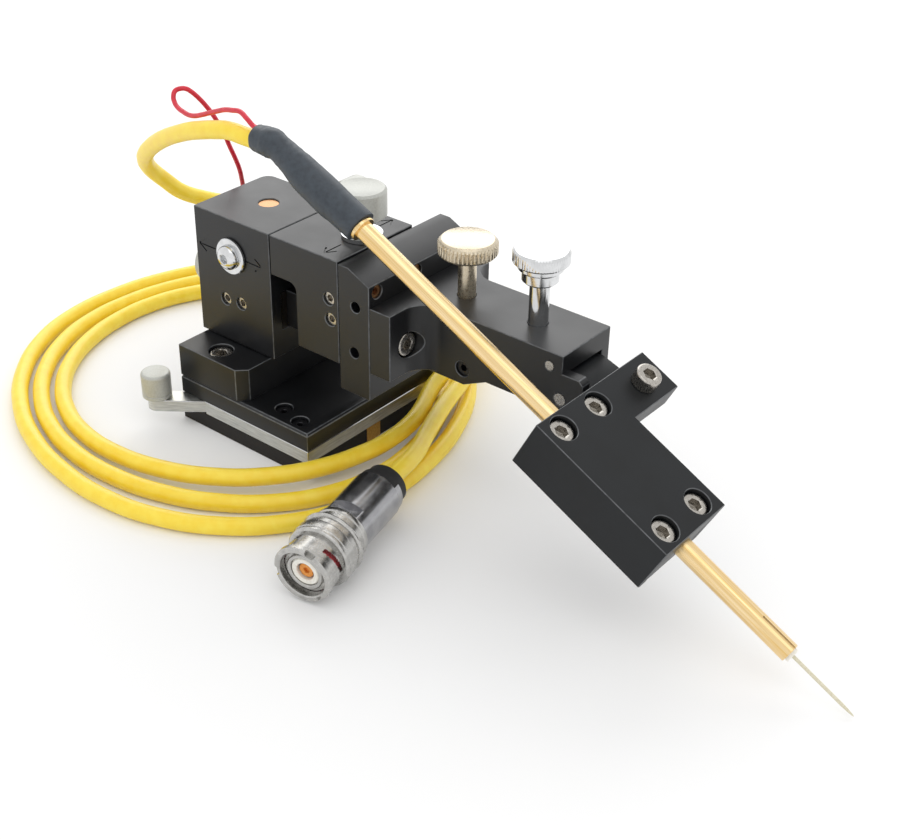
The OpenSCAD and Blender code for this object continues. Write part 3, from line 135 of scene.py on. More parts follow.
def grained(material, size, height=0.0, colours=None, roughness=None, stretch=(1, 1, 1), slant=0.0):
    """Adds a grain whose grains are size across, in mm, drawn out by stretch along each axis.

    It stands height proud, in mm, and runs between two colours and two roughnesses; slant turns it about Y.
    """
    tree = material.node_tree
    shader = tree.nodes["Principled BSDF"]
    where = add_node(tree, "ShaderNodeTexCoord")
    turned_to = add_node(tree, "ShaderNodeMapping", {"Rotation": (0, slant, 0)},
                         {"Vector": where.outputs["Object"]})
    scaled = add_node(tree, "ShaderNodeMapping", {"Scale": [1 / (size * MM * s) for s in stretch]},
                      {"Vector": turned_to.outputs["Vector"]})
    grains = add_node(tree, "ShaderNodeTexNoise",
                      {"Scale": 1.0, "Detail": GRAIN_DETAIL, "Roughness": GRAIN_HARSHNESS},
                      {"Vector": scaled.outputs["Vector"]})
    if height:
        below = shader.inputs["Normal"].links
        links = {"Height": grains.outputs["Fac"]}
        if below:
            links["Normal"] = below[0].from_socket
        relief = add_node(tree, "ShaderNodeBump", {"Strength": 1.0, "Distance": height * MM}, links)
        tree.links.new(relief.outputs["Normal"], shader.inputs["Normal"])
    spread = add_node(tree, "ShaderNodeMapRange", {"From Min": GRAIN_LOW, "From Max": GRAIN_HIGH},
                      {"Value": grains.outputs["Fac"]})
    if colours:
        mixed = add_node(tree, "ShaderNodeMix",
                         {"data_type": "RGBA", 6: linear(colours[0]), 7: linear(colours[1])},
                         {0: spread.outputs["Result"]})
        tree.links.new(mixed.outputs[2], shader.inputs["Base Color"])
    if roughness:
        rough = add_node(tree, "ShaderNodeMapRange", {"To Min": roughness[0], "To Max": roughness[1]},
                         {"Value": spread.outputs["Result"]})
        tree.links.new(rough.outputs["Result"], shader.inputs["Roughness"])
    return material


# Bead-blasted grit is about 0.05 mm; it is drawn 0.25 mm coarse so that it shows
BLAST_GRAIN = 0.25
HANDLING_MARKS = 9.0

# Black anodised aluminium, bead-blasted: deep satin black whose grazed faces turn an even grey
anodised = finish("black_anodised_satin", "#131416", 0.36, {"IOR": 1.48})
grained(anodised, BLAST_GRAIN, height=0.004)
grained(anodised, HANDLING_MARKS, colours=("#101113", "#161719"), roughness=(0.32, 0.40))
# The same on a broken edge: a fine grey line, partly dye worn thin and partly a painted highlight
edge_wear_and_highlight = finish("black_anodised_edge_wear_and_painted_highlight", "#4c4e50", 0.34, {"IOR": 1.62})
grained(edge_wear_and_highlight, 1.5, colours=("#37393b", "#5d6063"))
# Clamp block and tilt lever: the same dye over a finer blast, a little bluer and smoother
clamp_black = finish("black_anodised_clamp", "#111316", 0.42, {"IOR": 1.38})
grained(clamp_black, BLAST_GRAIN, height=0.005)
grained(clamp_black, HANDLING_MARKS, colours=("#0f1113", "#14171a"), roughness=(0.37, 0.44))
# Blackened iron of the pole pieces and gib strips: dark and dull with a faint brown cast
pole_iron = finish("blackened_iron", "#262423", 0.48, {"Metallic": 0.6})
grained(pole_iron, 0.6, height=0.006, colours=("#1c1b1b", "#2f2b28"), roughness=(0.42, 0.56))
# Milled aluminium plate: fine lengthwise cutter streaks over a pale grey metal
milled_plate = finish("milled_aluminium", "#c9cac6", 0.34, {"Metallic": 1.0})
grained(milled_plate, 0.35, height=0.004, stretch=(12, 12, 1), colours=("#b5b6b2", "#d8d9d5"),
        roughness=(0.28, 0.42))
# Nickel-plated knobs, satin: very pale, with hardly any reflection edge
satin_knob = finish("satin_nickel_knob", "#b9bab4", 0.42, {"Metallic": 0.35})
grained(satin_knob, 0.4, height=0.002, colours=("#b3b4ae", "#c0c1bb"), roughness=(0.38, 0.47))
# Polished stainless steel: mirror streaks of the pale surroundings
polished_steel = finish("polished_stainless", "#d6d7d8", 0.13, {"Metallic": 1.0})
grained(polished_steel, 2.0, roughness=(0.09, 0.18), colours=("#cfd0d1", "#dedfe0"))
# Nickel over brass on the warm thumb screw: cream-coloured metal with a soft sheen
warm_nickel = finish("warm_nickel_plate", "#d2c5ad", 0.3, {"Metallic": 0.9})
grained(warm_nickel, 0.5, height=0.001, colours=("#c8bba2", "#dcd0ba"), roughness=(0.24, 0.36))
# Alloy steel screws, machined and oiled: mid grey with turned marks
screw_steel = finish("oiled_alloy_steel", "#b4afa8", 0.27, {"Metallic": 1.0})
grained(screw_steel, 0.3, height=0.002, colours=("#a39e97", "#c4c0b9"), roughness=(0.2, 0.34))
# Black-oxide screws of the deck and plug of the arm: nearly black, slightly shiny from oil
oxide_steel = finish("black_oxide_steel", "#2b2b2d", 0.35, {"Metallic": 0.7})
grained(oxide_steel, 0.4, colours=("#222224", "#37373a"), roughness=(0.28, 0.42))
# Cartridge brass of the strip between the poles and the thumb screw's pad: dull yellow
brass = finish("machined_brass", "#c79a4b", 0.32, {"Metallic": 1.0})
grained(brass, 0.5, height=0.002, colours=("#b88b40", "#d3a95b"), roughness=(0.26, 0.4))
# How far the probe points down
PROBE_SLANT = math.radians(27)
# Drawn brass tube, polished and lacquered: long soft streaks along it
drawn_tube = finish("drawn_brass_tube", "#f0cf94", 0.2, {"Metallic": 1.0})
grained(drawn_tube, 0.5, colours=("#e6c07c", "#f8e0b2"), roughness=(0.15, 0.26), stretch=(40, 1, 1),
        slant=-PROBE_SLANT)
# Bronze of the nut and the side screws: coppery, with a soft sheen
bronze = finish("bare_bronze", "#bf8c5f", 0.34, {"Metallic": 0.9})
grained(bronze, 0.4, height=0.002, colours=("#b58256", "#cb9a6e"), roughness=(0.28, 0.42))
# Needle with a cream coating: pale, dull, hardly metal
needle_coat = finish("cream_needle_coat", "#d8d2b8", 0.45)
grained(needle_coat, 0.3, colours=("#cfc8ab", "#e2dcc6"), roughness=(0.4, 0.5))
# Bronze contact spring, seen only by light that falls down the plug's mouth
contact_bronze = finish("contact_bronze", "#e09038", 0.4, {"Metallic": 0.3})
grained(contact_bronze, 0.5, colours=("#d58330", "#eba04a"), roughness=(0.3, 0.5))
# Turned PTFE insulator: warm white, waxy
insulator = finish("turned_insulator", "#efece2", 0.35,
                   {"Subsurface Weight": 0.05, "Subsurface Radius": (0.001,) * 3})
grained(insulator, 0.5, colours=("#e9e5d8", "#f5f3ec"))
# Polyolefin shrink tube: blue-black, matt, with faint shine on the crests
shrink_tube = finish("polyolefin_shrink_tube", "#343b43", 0.5, {"IOR": 1.5})
grained(shrink_tube, 1.2, height=0.03, colours=("#2e353d", "#3d454d"), roughness=(0.42, 0.58))
# PVC cable jacket, extruded: strong yellow with a soft waxy shine
cable_jacket = finish("yellow_pvc_jacket", "#fbdc3c", 0.38, {"Coat Weight": 0.15, "Coat Roughness": 0.35})
grained(cable_jacket, 3.0, height=0.01, colours=("#f9d631", "#fde24c"), roughness=(0.32, 0.46))
# PVC wire insulation, thin and glossy: strong red
wire_jacket = finish("red_pvc_insulation", "#cf2338", 0.35)
grained(wire_jacket, 1.5, colours=("#c81d33", "#da2f43"), roughness=(0.3, 0.42))
# Tinned copper strands at the wire's end: grey, soft metal
tinned = finish("tinned_copper", "#b9bab8", 0.35, {"Metallic": 1.0})
grained(tinned, 0.2, height=0.01, colours=("#a9aaa8", "#c9cac8"))
# Rubber bush and boot at the plug's rear: dead black
rubber = finish("black_rubber", "#161617", 0.6)
grained(rubber, 0.4, height=0.006, colours=("#121213", "#1d1d1f"))
# Dark chrome back shell: a mirror that shows the surroundings darkened
dark_chrome = finish("dark_chrome_plate", "#a3a3a6", 0.2, {"Metallic": 1.0})
grained(dark_chrome, 2.5, colours=("#99999c", "#adadaf"), roughness=(0.16, 0.26))
# Bright nickel plate of the plug's ring and body
nickel = finish("bright_nickel_plate", "#bab9b6", 0.24, {"Metallic": 1.0})
grained(nickel, 1.2, colours=("#b0afac", "#c4c3c0"), roughness=(0.2, 0.3))
# Silicone seal seen through the ring's windows
seal_red = finish("red_silicone_seal", "#a8343c", 0.45)
grained(seal_red, 0.5, colours=("#9a2c34", "#b63d45"))
# Sintered magnet disc, nickel-plated
magnet = finish("plated_magnet", "#a9abad", 0.3, {"Metallic": 1.0})
grained(magnet, 0.6, height=0.002, colours=("#9a9c9e", "#b8babc"))


# Shapes

# In mm: corners of a CAD mesh this close are one corner, and so are points of a new shape
CAD_WELD = 0.001
WELD = 0.002
# A ring this small, in mm, is welded to one point
POINT_R = 0.0005


def ring_stack(count, sides, shape, joined=False):
    """A tube of rings; shape(ring, angle) says where each of its points lies, in mm."""
    bm = bmesh.new()
    bmesh.ops.create_circle(bm, segments=sides, radius=1.0)
    first = edges = bm.edges[:]
    for _ in range(1, count):
        made = set(bmesh.ops.extrude_edge_only(bm, edges=edges)["geom"])
        risen = {v for v in made if isinstance(v, bmesh.types.BMVert)}
        bmesh.ops.translate(bm, verts=list(risen), vec=(0, 0, 1))
        edges = [e for e in made if isinstance(e, bmesh.types.BMEdge) and set(e.verts) <= risen]
    for vert in bm.verts:
        vert.co = shape(round(vert.co.z), math.atan2(vert.co.y, vert.co.x))
    if joined:
        bmesh.ops.bridge_loops(bm, edges=first + edges)
    bmesh.ops.remove_doubles(bm, verts=bm.verts, dist=WELD)
    bmesh.ops.recalc_face_normals(bm, faces=bm.faces)
    return bm


def turned(outline, sides=64, joined=False):
    """Lathe work about Z; outline gives radius and height of each ring, from the low end up.

    A radius may be a function of the angle, for sockets, flutes and flats.
    """
    def shape(ring, angle):
        radius, height = outline[ring]
        radius = max(radius(angle) if callable(radius) else radius, POINT_R)
        return Vector((radius * math.cos(angle), radius * math.sin(angle), height))
    return ring_stack(len(outline), sides, shape, joined)


def arc(radius, height, size, start, end, steps=4):
    """Outline points round a corner, about a centre at that radius and height."""
    turns = [math.radians(start + (end - start) * i / steps) for i in range(steps + 1)]
    return [(radius + size * math.cos(a), height + size * math.sin(a)) for a in turns]


def hexagon(across):
    """Radius of a hexagon that is across wide from flat to flat."""
    return lambda angle: across / 2 / math.cos((angle + math.pi / 6) % (math.pi / 3) - math.pi / 6)


def fluted(radius, count, depth):
    """Radius of a round rim with count grooves cut depth deep."""
    return lambda angle: radius - depth * (0.5 + 0.5 * math.cos(count * angle)) ** 2


# A hair off Y, so that a piece can also face along Y
SIDE = Vector((0, 1, 0.001))


def facing(out):
    """A turn that brings Z to point along out."""
    up = Vector(out).normalized()
    across = SIDE.cross(up).normalized()
    return Matrix((across, up.cross(across), up)).transposed().to_4x4()


def islands(node, turn):
    """Low and high corners, in mm, of each separate body in a CAD node, seen in a turned frame."""
    bm = bmesh.new()
    bm.from_mesh(frame["nodes"][node].data)
    bm.transform(turn.inverted() @ TO_MM)
    bmesh.ops.remove_doubles(bm, verts=bm.verts, dist=CAD_WELD)
    left = set(bm.verts)
    boxes = []
    while left:
        grown, edge = set(), {left.pop()}
        while edge:
            grown |= edge
            edge = {e.other_vert(v) for v in edge for e in v.link_edges} - grown
        left -= grown
        boxes.append((Vector([min(v.co[i] for v in grown) for i in range(3)]),
                      Vector([max(v.co[i] for v in grown) for i in range(3)])))
    bm.free()
    return sorted(boxes, key=lambda pair: tuple(round(x, 2) for x in pair[0]))


def merge(into, extra, moved):
    """Adds the shape extra, moved into place, to the shape into."""
    extra.transform(moved)
    mesh = bpy.data.meshes.new("extra")
    extra.to_mesh(mesh)
    extra.free()
    into.from_mesh(mesh)
    bpy.data.meshes.remove(mesh)


SHARP_FROM = 28


def soften(bm, sharp_from=SHARP_FROM):
    """Smooth faces, with every edge that turns more than that many degrees kept sharp."""
    for face in bm.faces:
        face.smooth = True
    for edge in bm.edges:
        edge.smooth = len(edge.link_faces) == 2 and edge.calc_face_angle() < math.radians(sharp_from)


def add_piece(name, bm, nodes, finishes):
    """Makes a shape in mm a piece that stands for CAD nodes and rides on their body."""
    bm.transform(TO_FRAME)
    mesh = bpy.data.meshes.new(name)
    bm.to_mesh(mesh)
    bm.free()
    for material in finishes:
        mesh.materials.append(material)
    piece = bpy.data.objects.new(name, mesh)
    scene.collection.objects.link(piece)
    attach(piece, BODY_OF[nodes[0]])
    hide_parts(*nodes)
    return piece


def dress(material, *nodes):
    """Gives CAD nodes whose shape is right their real finish."""
    for node in nodes:
        slots = frame["nodes"][node].data.materials
        slots.clear()
        slots.append(material)


# Cords
CABLE_D = 4.0
WIRE_D = 1.1
CORD_STEPS = 5
LEAD_ROUTE = [
    (20.6, 8.65, 71.2), (16.6, 8.65, 71.2), (11.5, 9.1, 70.9), (6.8, 9.6, 69.7),
    (1.8, 10.4, 68.1), (-3.4, 11.5, 66.2), (-9.5, 13, 63.5), (-16.1, 15, 60.2),
    (-21.8, 17, 56.9), (-26.6, 19, 53.8), (-30.6, 21, 50.9), (-33.7, 23, 48.2),
    (-37.1, 27, 43.4), (-37.3, 31.5, 38.7), (-36.2, 35.5, 34.7), (-34.2, 41, 31.6),
    (-31.5, 48, 28.6), (-27, 55.5, 25.6), (-21, 62.5, 23), (-13, 69, 21),
    (-4, 74.5, 19.8), (5, 78.5, 19.2), (13, 80.5, 19), (20, 79.5, 19),
    (25, 76, 19), (27, 71.5, 19), (27, 67, 19)]
RISE_ROUTE = [
    (27, 67, 19), (27, 63.8, 19), (28, 60.3, 18.5), (30.6, 57, 17.2), (34.2, 53.8, 15.2),
    (37.8, 50.4, 12.8), (40.8, 46.8, 10.4), (42.6, 42.8, 8.6), (43.4, 38.8, 7.6), (44.8, 34.9, 6.9),
    (46.4, 31.1, 6.4), (47.6, 27.2, 6), (48.1, 23.2, 5.5), (48, 19.2, 5), (47.5, 15.4, 4.5)]
PLUG_AT = (62.4, 0.5, 8.674)
TAIL_ROUTE = [
    PLUG_AT, (61.7, 4.2, 8.87), (60.8, 8.2, 8.6), (59.4, 12.3, 8), (57.5, 16.8, 7.3),
    (55.1, 21.8, 6.9), (52.6, 27.8, 6.8), (50.2, 34, 6.8), (48.2, 39.8, 6.8), (46.5, 45.2, 6.8),
    (44.4, 50.5, 6.8), (41.3, 55.7, 6.8), (38.2, 60.7, 6.6), (34.6, 65.4, 5.6), (30.8, 69.2, 4.2),
    (27, 72.2, 2.7)]
WIRE_ROUTE = [
    (20.6, 8.65, 74), (19.8, 8.65, 74), (17.6, 8.9, 75), (14.8, 9.6, 75.7), (12, 10, 75.2),
    (9.3, 10.5, 74.5), (6.3, 11, 73.3), (3.5, 11.5, 72.1), (0.3, 12, 70.7), (-2.5, 12.5, 69.6),
    (-5.2, 13, 69), (-7.5, 13.5, 69), (-9.6, 14, 69.2), (-11.3, 14.6, 69.8), (-12.5, 15.4, 70.8),
    (-12.8, 16.3, 71.7), (-12.2, 17.2, 72.1), (-11.4, 18.2, 72), (-10.9, 19.2, 71.2),
    (-10.5, 20.2, 70.1), (-10.1, 21.2, 68.8), (-9.7, 22.3, 67.2), (-9.3, 23.5, 65.2),
    (-8.9, 25, 62.3), (-8.7, 26.2, 59.8), (-8.8, 27.5, 56.7), (-8.7, 29, 53.1),
    (-9, 30.4, 49.9), (-9.9, 31.8, 46.6), (-11, 33.2, 43.4), (-12, 35, 40), (-12.6, 37, 36.6),
    (-12.8, 39, 33.2)]
# Half the width and depth that the floor loops start from
LOOP_HALF = (45.5, 43)
# Floor loops, innermost first: the middle, what the reach to the right, back, left and front adds to
# half the width or depth, and how far the back part leans to the right
LOOPS = [(-3, 22.5, 2.5, -2, -3, 2, -1.5), (-1.5, 16.5, 8.5, 12, 3.5, 2.5, -5),
         (4, 15, 8.5, 20, 14.5, 7.5, -6)]
# How far out of the outer loop the cable comes in
LOOP_LEAD_IN = 2.8
# In degrees: where the coil starts and ends, and the step between its points
LOOP_FIRST = 65
LOOP_LAST = 1070
LOOP_RING = 15
# In degrees of each later turn: where the cable starts to move one loop inwards, and for how long
SHIFT_FROM = 15
SHIFT_FOR = 120
# Near its end the cable rises off the floor past the base's corner
LIFT = 2.25
LIFT_FROM = 965
LIFT_FOR = 80
LIFT_OUT = Vector((0.98, -1.24, 1))


def smooth_step(value):
    """Runs softly from 0 to 1."""
    u = min(max(value, 0.0), 1.0)
    return u * u * (3 - 2 * u)


def on_loop(loop, turn):
    """A place on one floor loop at a turn in degrees."""
    middle_x, middle_y, right, back, left, front, lean = LOOPS[loop]
    c, s = math.cos(math.radians(turn)), math.sin(math.radians(turn))
    return Vector((middle_x + (LOOP_HALF[0] + (right if c > 0 else left)) * c + lean * s,
                   middle_y + (LOOP_HALF[1] + (back if s > 0 else front)) * s, CABLE_D / 2))


def loop_point(turn):
    """Middle of the floor loops' cable at a turn in degrees; it moves one loop inwards each turn."""
    out = 2 - sum(smooth_step((turn - 360 * n - SHIFT_FROM) / SHIFT_FOR) for n in (1, 2))
    inner = min(int(out), 1)
    extra = LOOP_LEAD_IN * (1 - smooth_step((turn - LOOP_FIRST) / SHIFT_FOR))
    lead_in = Vector((math.cos(math.radians(turn)), math.sin(math.radians(turn)), 0)) * extra
    lift = LIFT_OUT * LIFT * smooth_step((turn - LIFT_FROM) / LIFT_FOR)
    return on_loop(inner, turn).lerp(on_loop(inner + 1, turn), out - inner) + lead_in + lift


def add_cord(name, route, diameter, material, nodes, **facts):
    """A round cord along a smooth line through the route's points."""
    line = bpy.data.curves.new(name, "CURVE")
    line.dimensions = "3D"
    line.bevel_depth = diameter / 2 * MM
    line.bevel_resolution = CORD_STEPS
    line.resolution_u = CORD_STEPS
    line.use_fill_caps = True
    spline = line.splines.new("BEZIER")
    spline.bezier_points.add(len(route) - 1)
    for point, place in zip(spline.bezier_points, route):
        point.co = spot(*place)
        point.handle_left_type = point.handle_right_type = "AUTO"
    line.materials.append(material)
    piece = bpy.data.objects.new(name, line)
    scene.collection.objects.link(piece)
    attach(piece, BODY_OF[nodes[0]])
    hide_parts(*nodes)
    length = sum(math.dist(a, b) for a, b in zip(route, route[1:])) * MM
    spot(*route[0])


loop_turns = range(LOOP_FIRST, LOOP_LAST + 1, LOOP_RING)
loop_back = [loop_point(turn) for turn in reversed(loop_turns)]
add_cord("signal_lead", LEAD_ROUTE, CABLE_D, cable_jacket, ["cable_lead"], far_end="object",
         stiffness="medium", lay="loose")
signal_cable_route = RISE_ROUTE + loop_back + TAIL_ROUTE[::-1]


# Milled parts: the CAD shape with its outer edges broken by a fine chamfer
STILL_FLAT = math.radians(0.6)
CORNER_FROM = math.radians(35)


def milled(node, edge, finishes, spare=()):
    """A CAD node's shape with a chamfer, in mm, on its outer edges, but not in the spared boxes."""
    bm = bmesh.new()
    bm.from_mesh(frame["nodes"][node].data)
    bm.transform(TO_MM)
    bmesh.ops.remove_doubles(bm, verts=bm.verts, dist=CAD_WELD)
    bmesh.ops.dissolve_limit(bm, angle_limit=STILL_FLAT, verts=bm.verts, edges=bm.edges)
    outer = []
    for line in bm.edges:
        if len(line.link_faces) != 2 or not line.is_convex or line.calc_face_angle() < CORNER_FROM:
            continue
        middle = (line.verts[0].co + line.verts[1].co) / 2
        if any(all(low[i] <= middle[i] <= high[i] for i in range(3)) for low, high in spare):
            continue
        outer.append(line)
    broken = bmesh.ops.bevel(bm, geom=outer, offset=edge, offset_type="OFFSET", affect="EDGES",
                             segments=1, profile=0.5, material=-1, clamp_overlap=False)
    # Chamfer faces take the second finish; on the black blocks it is a lighter grey, partly worn dye and
    # partly a painted edge highlight
    for face in broken["faces"]:
        face.material_index = 1
    soften(bm)
    add_piece(node + "_milled", bm, [node], finishes)


EDGE = 0.16
BASE_EDGE = 0.1
LEVER_EDGE = 0.2
TUBE_EDGE = 0.12
# Boxes round the engraved arrows, whose cuts are finer than a chamfer
ARROWS = {"left_block": [((-2, 8, 39), (22, 9.2, 44.5))],
          "column_block": [((34.5, 9.5, 50), (39.5, 32.9, 50.5))]}
# The chamfers of these blocks get the lighter grey finish: partly worn dye, partly a painted edge highlight
for block in ("base_deck", "y_guide", "screw_post", "left_block", "column_block", "riser_block",
              "bracket_arm"):
    milled(block, EDGE, [anodised, edge_wear_and_highlight], ARROWS.get(block, ()))
for holder in ("tilt_lever", "clamp_body", "clamp_bar"):
    milled(holder, EDGE, [clamp_black, edge_wear_and_highlight])
milled("magnet_poles", BASE_EDGE, [pole_iron, pole_iron])
milled("magnet_plate", BASE_EDGE, [milled_plate, polished_steel])
milled("lever_bar", LEVER_EDGE, [milled_plate, polished_steel])
milled("probe_tube", TUBE_EDGE, [drawn_tube, drawn_tube])

dress(pole_iron, "x_gib", "z_gib")
dress(brass, "pole_divider", "thumb_pad")
dress(bronze, "y_nut", "riser_side_screws")
dress(screw_steel, "y_screw", "x_screw", "z_screw", "x_set_screws", "z_set_screws", "arm_dowel",
      "pivot_pin")
dress(polished_steel, "z_washer")
dress(oxide_steel, "arm_side_plug")
dress(magnet, "lever_magnet")
dress(insulator, "probe_core")
dress(tinned, "wire_tip")
dress(rubber, "plug_bush")
dress(seal_red, "plug_seal")


# Cap screws
CAP_HEAD = 3.0
CAP_KEY = 2.5
CAP_THREAD = 2.9
CAP_FLUTES = 36
DECK_HEAD = 1.6
DECK_KEY = 1.3
DECK_THREAD = 2.0
DECK_FLUTES = 24
FLUTE_DEPTH = 0.1
FLUTE_SIDES = 3
# Radius of the countersink round a key's socket, as a share of the key's width
SOCKET_RIM = 0.62
# Height of a cap head's rounding and of its socket's floor, as shares of the head
HEAD_ROUND = 0.14
SOCKET_FLOOR = 0.42


def cap_screw(head_d, head_h, thread_d, shank, key, flutes):
    """Socket head screw standing on z = 0, with a rolled grip round the head."""
    radius = head_d / 2
    thread = thread_d / 2
    round_off = head_h * HEAD_ROUND
    grip = fluted(radius, flutes, FLUTE_DEPTH)
    outline = [
        (0, -shank), (thread - 0.3, -shank), (thread, -shank + 0.3), (thread, 0),
        (radius - 0.15, 0), (grip, 0.15), (grip, head_h - 1.9 * round_off),
        *arc(radius - round_off, head_h - round_off, round_off, 0, 90),
        (key * SOCKET_RIM, head_h), (hexagon(key), head_h - 0.12), (hexagon(key), head_h * SOCKET_FLOOR),
        (0, head_h * SOCKET_FLOOR - 0.3)]
    return turned(outline, flutes * FLUTE_SIDES)


def cap_screws(name, node, out, material, head_h=CAP_HEAD, thread_d=CAP_THREAD, key=CAP_KEY,
               flutes=CAP_FLUTES):
    """The cap screws of a CAD node, whose heads face out."""
    turn = facing(out)
    bm = bmesh.new()
    for low, high in islands(node, turn):
        head_d = high.x - low.x
        seat = Vector(((low.x + high.x) / 2, (low.y + high.y) / 2, high.z - head_h))
        screw = cap_screw(head_d, head_h, thread_d, seat.z - low.z, key, flutes)
        merge(bm, screw, turn @ Matrix.Translation(seat))
    soften(bm)
    add_piece(name, bm, [node], [material])


CLAMP_OUT = (math.sin(PROBE_SLANT), 0, math.cos(PROBE_SLANT))
cap_screws("deck_cap_screws", "deck_screws", (0, 0, 1), oxide_steel, DECK_HEAD, DECK_THREAD, DECK_KEY,
           DECK_FLUTES)
cap_screws("guide_cap_screw", "guide_screw", (0, 0, 1), screw_steel)
cap_screws("post_cap_screws", "post_screws", (0, 1, 0), screw_steel)
cap_screws("bracket_cap_screws", "bracket_screws", (1, 0, 0), screw_steel)
cap_screws("clamp_cap_screws", "clamp_screws", CLAMP_OUT, screw_steel)
cap_screws("ear_cap_screw", "ear_screw", CLAMP_OUT, screw_steel)


# Lathe-turned knobs and thumb screws
def on_axis(node, out, bm, name, finishes):
    """Puts a turned shape, whose z = 0 is the low end, on the axis of a round CAD node."""
    turn = facing(out)
    low, high = islands(node, turn)[0]
    bm.transform(turn @ Matrix.Translation(((low.x + high.x) / 2, (low.y + high.y) / 2, low.z)))
    soften(bm)
    add_piece(name, bm, [node], finishes)


def knob_outline(stem_d, stem_l, head_d, head_h):
    """Plain turned knob on a stem, with a shallow dish in its end."""
    stem = stem_d / 2
    radius = head_d / 2
    top = stem_l + head_h
    return [
        (0, 0.6), (stem - 0.9, 0.6), (stem - 0.9, 0), (stem - 0.1, 0), (stem, 0.1), (stem, stem_l - 0.2),
        (stem + 0.2, stem_l), (radius - 0.5, stem_l), (radius, stem_l + 0.5), (radius, top - 0.55),
        (radius - 0.08, top - 0.4), (radius - 0.5, top), (radius - 0.75, top), (radius - 1.0, top - 0.12),
        (0, top - 0.18)]


KNOB_SIDES = 96
# Which way each knob faces, its stem's diameter and length, and its head's diameter and height
KNOBS = {"z": ((0, 0, 1), (3.8, 3.8, 10.9, 6.5)), "x": ((-1, 0, 0), (6.0, 4.6, 10.9, 3.5)),
         "y": ((0, 1, 0), (6.0, 2.3, 10.9, 6.5))}
for axis, (faces_to, knob_sizes) in KNOBS.items():
    knob = turned(knob_outline(*knob_sizes), KNOB_SIDES)
    on_axis(axis + "_knob", faces_to, knob, axis + "_drive_knob", [satin_knob])

LEVER_KNOB_R = 3.4
LEVER_KNOB_H = 6.5
LEVER_KNOB_ROUND = 0.7
LEVER_STEM_R = 1.2
LEVER_STEM_L = 2.9
lever_knob_top = LEVER_STEM_L + LEVER_KNOB_H
lever_knob_outline = [
    (0, 0), (LEVER_STEM_R, 0), (LEVER_STEM_R, LEVER_STEM_L), (LEVER_KNOB_R - 0.4, LEVER_STEM_L),
    (LEVER_KNOB_R, LEVER_STEM_L + 0.4), (LEVER_KNOB_R, LEVER_STEM_L + 1.1),
    (LEVER_KNOB_R - 0.15, LEVER_STEM_L + 1.25), (LEVER_KNOB_R, LEVER_STEM_L + 1.4),
    *arc(LEVER_KNOB_R - LEVER_KNOB_ROUND, lever_knob_top - LEVER_KNOB_ROUND, LEVER_KNOB_ROUND, 0, 90),
    (0, lever_knob_top)]
on_axis("lever_knob", (0, 0, 1), turned(lever_knob_outline), "lever_grip_knob", [satin_knob])

# Warm thumb screw: a grooved grip between two bevels on a plain shank
WARM_R = 6.35
WARM_SHANK_R = 1.95
WARM_UNDER = 17.8
WARM_TOP = 21.4
WARM_GROOVES = 44
WARM_GROOVE_SIDES = 6
WARM_GROOVE_DEPTH = 0.3
WARM_BEVEL_DEPTH = 0.08
warm_grip = fluted(WARM_R, WARM_GROOVES, WARM_GROOVE_DEPTH)
warm_inner = fluted(WARM_R - WARM_GROOVE_DEPTH, WARM_GROOVES, WARM_BEVEL_DEPTH)
warm_outline = [
    (0, 0), (WARM_SHANK_R - 0.3, 0), (WARM_SHANK_R, 0.3), (WARM_SHANK_R, WARM_UNDER - 0.6),
    (WARM_SHANK_R + 0.5, WARM_UNDER), (WARM_R - 0.55, WARM_UNDER), (warm_inner, WARM_UNDER + 0.3),
    (warm_grip, WARM_UNDER + 0.55), (warm_grip, WARM_TOP - 0.85), (warm_inner, WARM_TOP - 0.6),
    (WARM_R - 0.4, WARM_TOP - 0.45), (WARM_R - 0.75, WARM_TOP - 0.1), (WARM_R - 0.95, WARM_TOP),
    (0, WARM_TOP)]
warm_screw = turned(warm_outline, WARM_GROOVES * WARM_GROOVE_SIDES)
on_axis("thumb_screw_warm", (0, 0, 1), warm_screw, "locking_thumb_screw", [warm_nickel])

# Bright thumb screw: disc, neck and collar above a polished shank
BRIGHT_R = 5.85
BRIGHT_SHANK_R = 2.1
BRIGHT_NECK_R = 4.7
BRIGHT_COLLAR_R = 3.8
BRIGHT_COLLAR = 14.5
BRIGHT_NECK = 17.1
BRIGHT_UNDER = 18.7
BRIGHT_TOP = 21.7
BRIGHT_GROOVES = 60
BRIGHT_GROOVE_SIDES = 3
BRIGHT_GROOVE_DEPTH = 0.12
bright_grip = fluted(BRIGHT_R, BRIGHT_GROOVES, BRIGHT_GROOVE_DEPTH)
bright_outline = [
    (0, 0), (BRIGHT_SHANK_R - 0.4, 0), (BRIGHT_SHANK_R, 0.4), (BRIGHT_SHANK_R, BRIGHT_COLLAR - 0.3),
    (BRIGHT_SHANK_R + 0.3, BRIGHT_COLLAR), (BRIGHT_COLLAR_R - 0.5, BRIGHT_COLLAR),
    (BRIGHT_COLLAR_R, BRIGHT_COLLAR + 0.5), (BRIGHT_COLLAR_R, BRIGHT_NECK - 0.15),
    (BRIGHT_NECK_R - 0.5, BRIGHT_NECK), (BRIGHT_NECK_R, BRIGHT_NECK + 0.5),
    (BRIGHT_NECK_R, BRIGHT_UNDER), (BRIGHT_R - 0.4, BRIGHT_UNDER), (bright_grip, BRIGHT_UNDER + 0.4),
    (bright_grip, BRIGHT_TOP - 0.6), (BRIGHT_R - 0.15, BRIGHT_TOP - 0.35),
    (BRIGHT_R - 0.5, BRIGHT_TOP), (BRIGHT_R - 1.0, BRIGHT_TOP), (0, BRIGHT_TOP - 0.1)]
bright_screw = turned(bright_outline, BRIGHT_GROOVES * BRIGHT_GROOVE_SIDES)
on_axis("thumb_screw_bright", (0, 0, 1), bright_screw, "tilt_thumb_screw", [polished_steel])

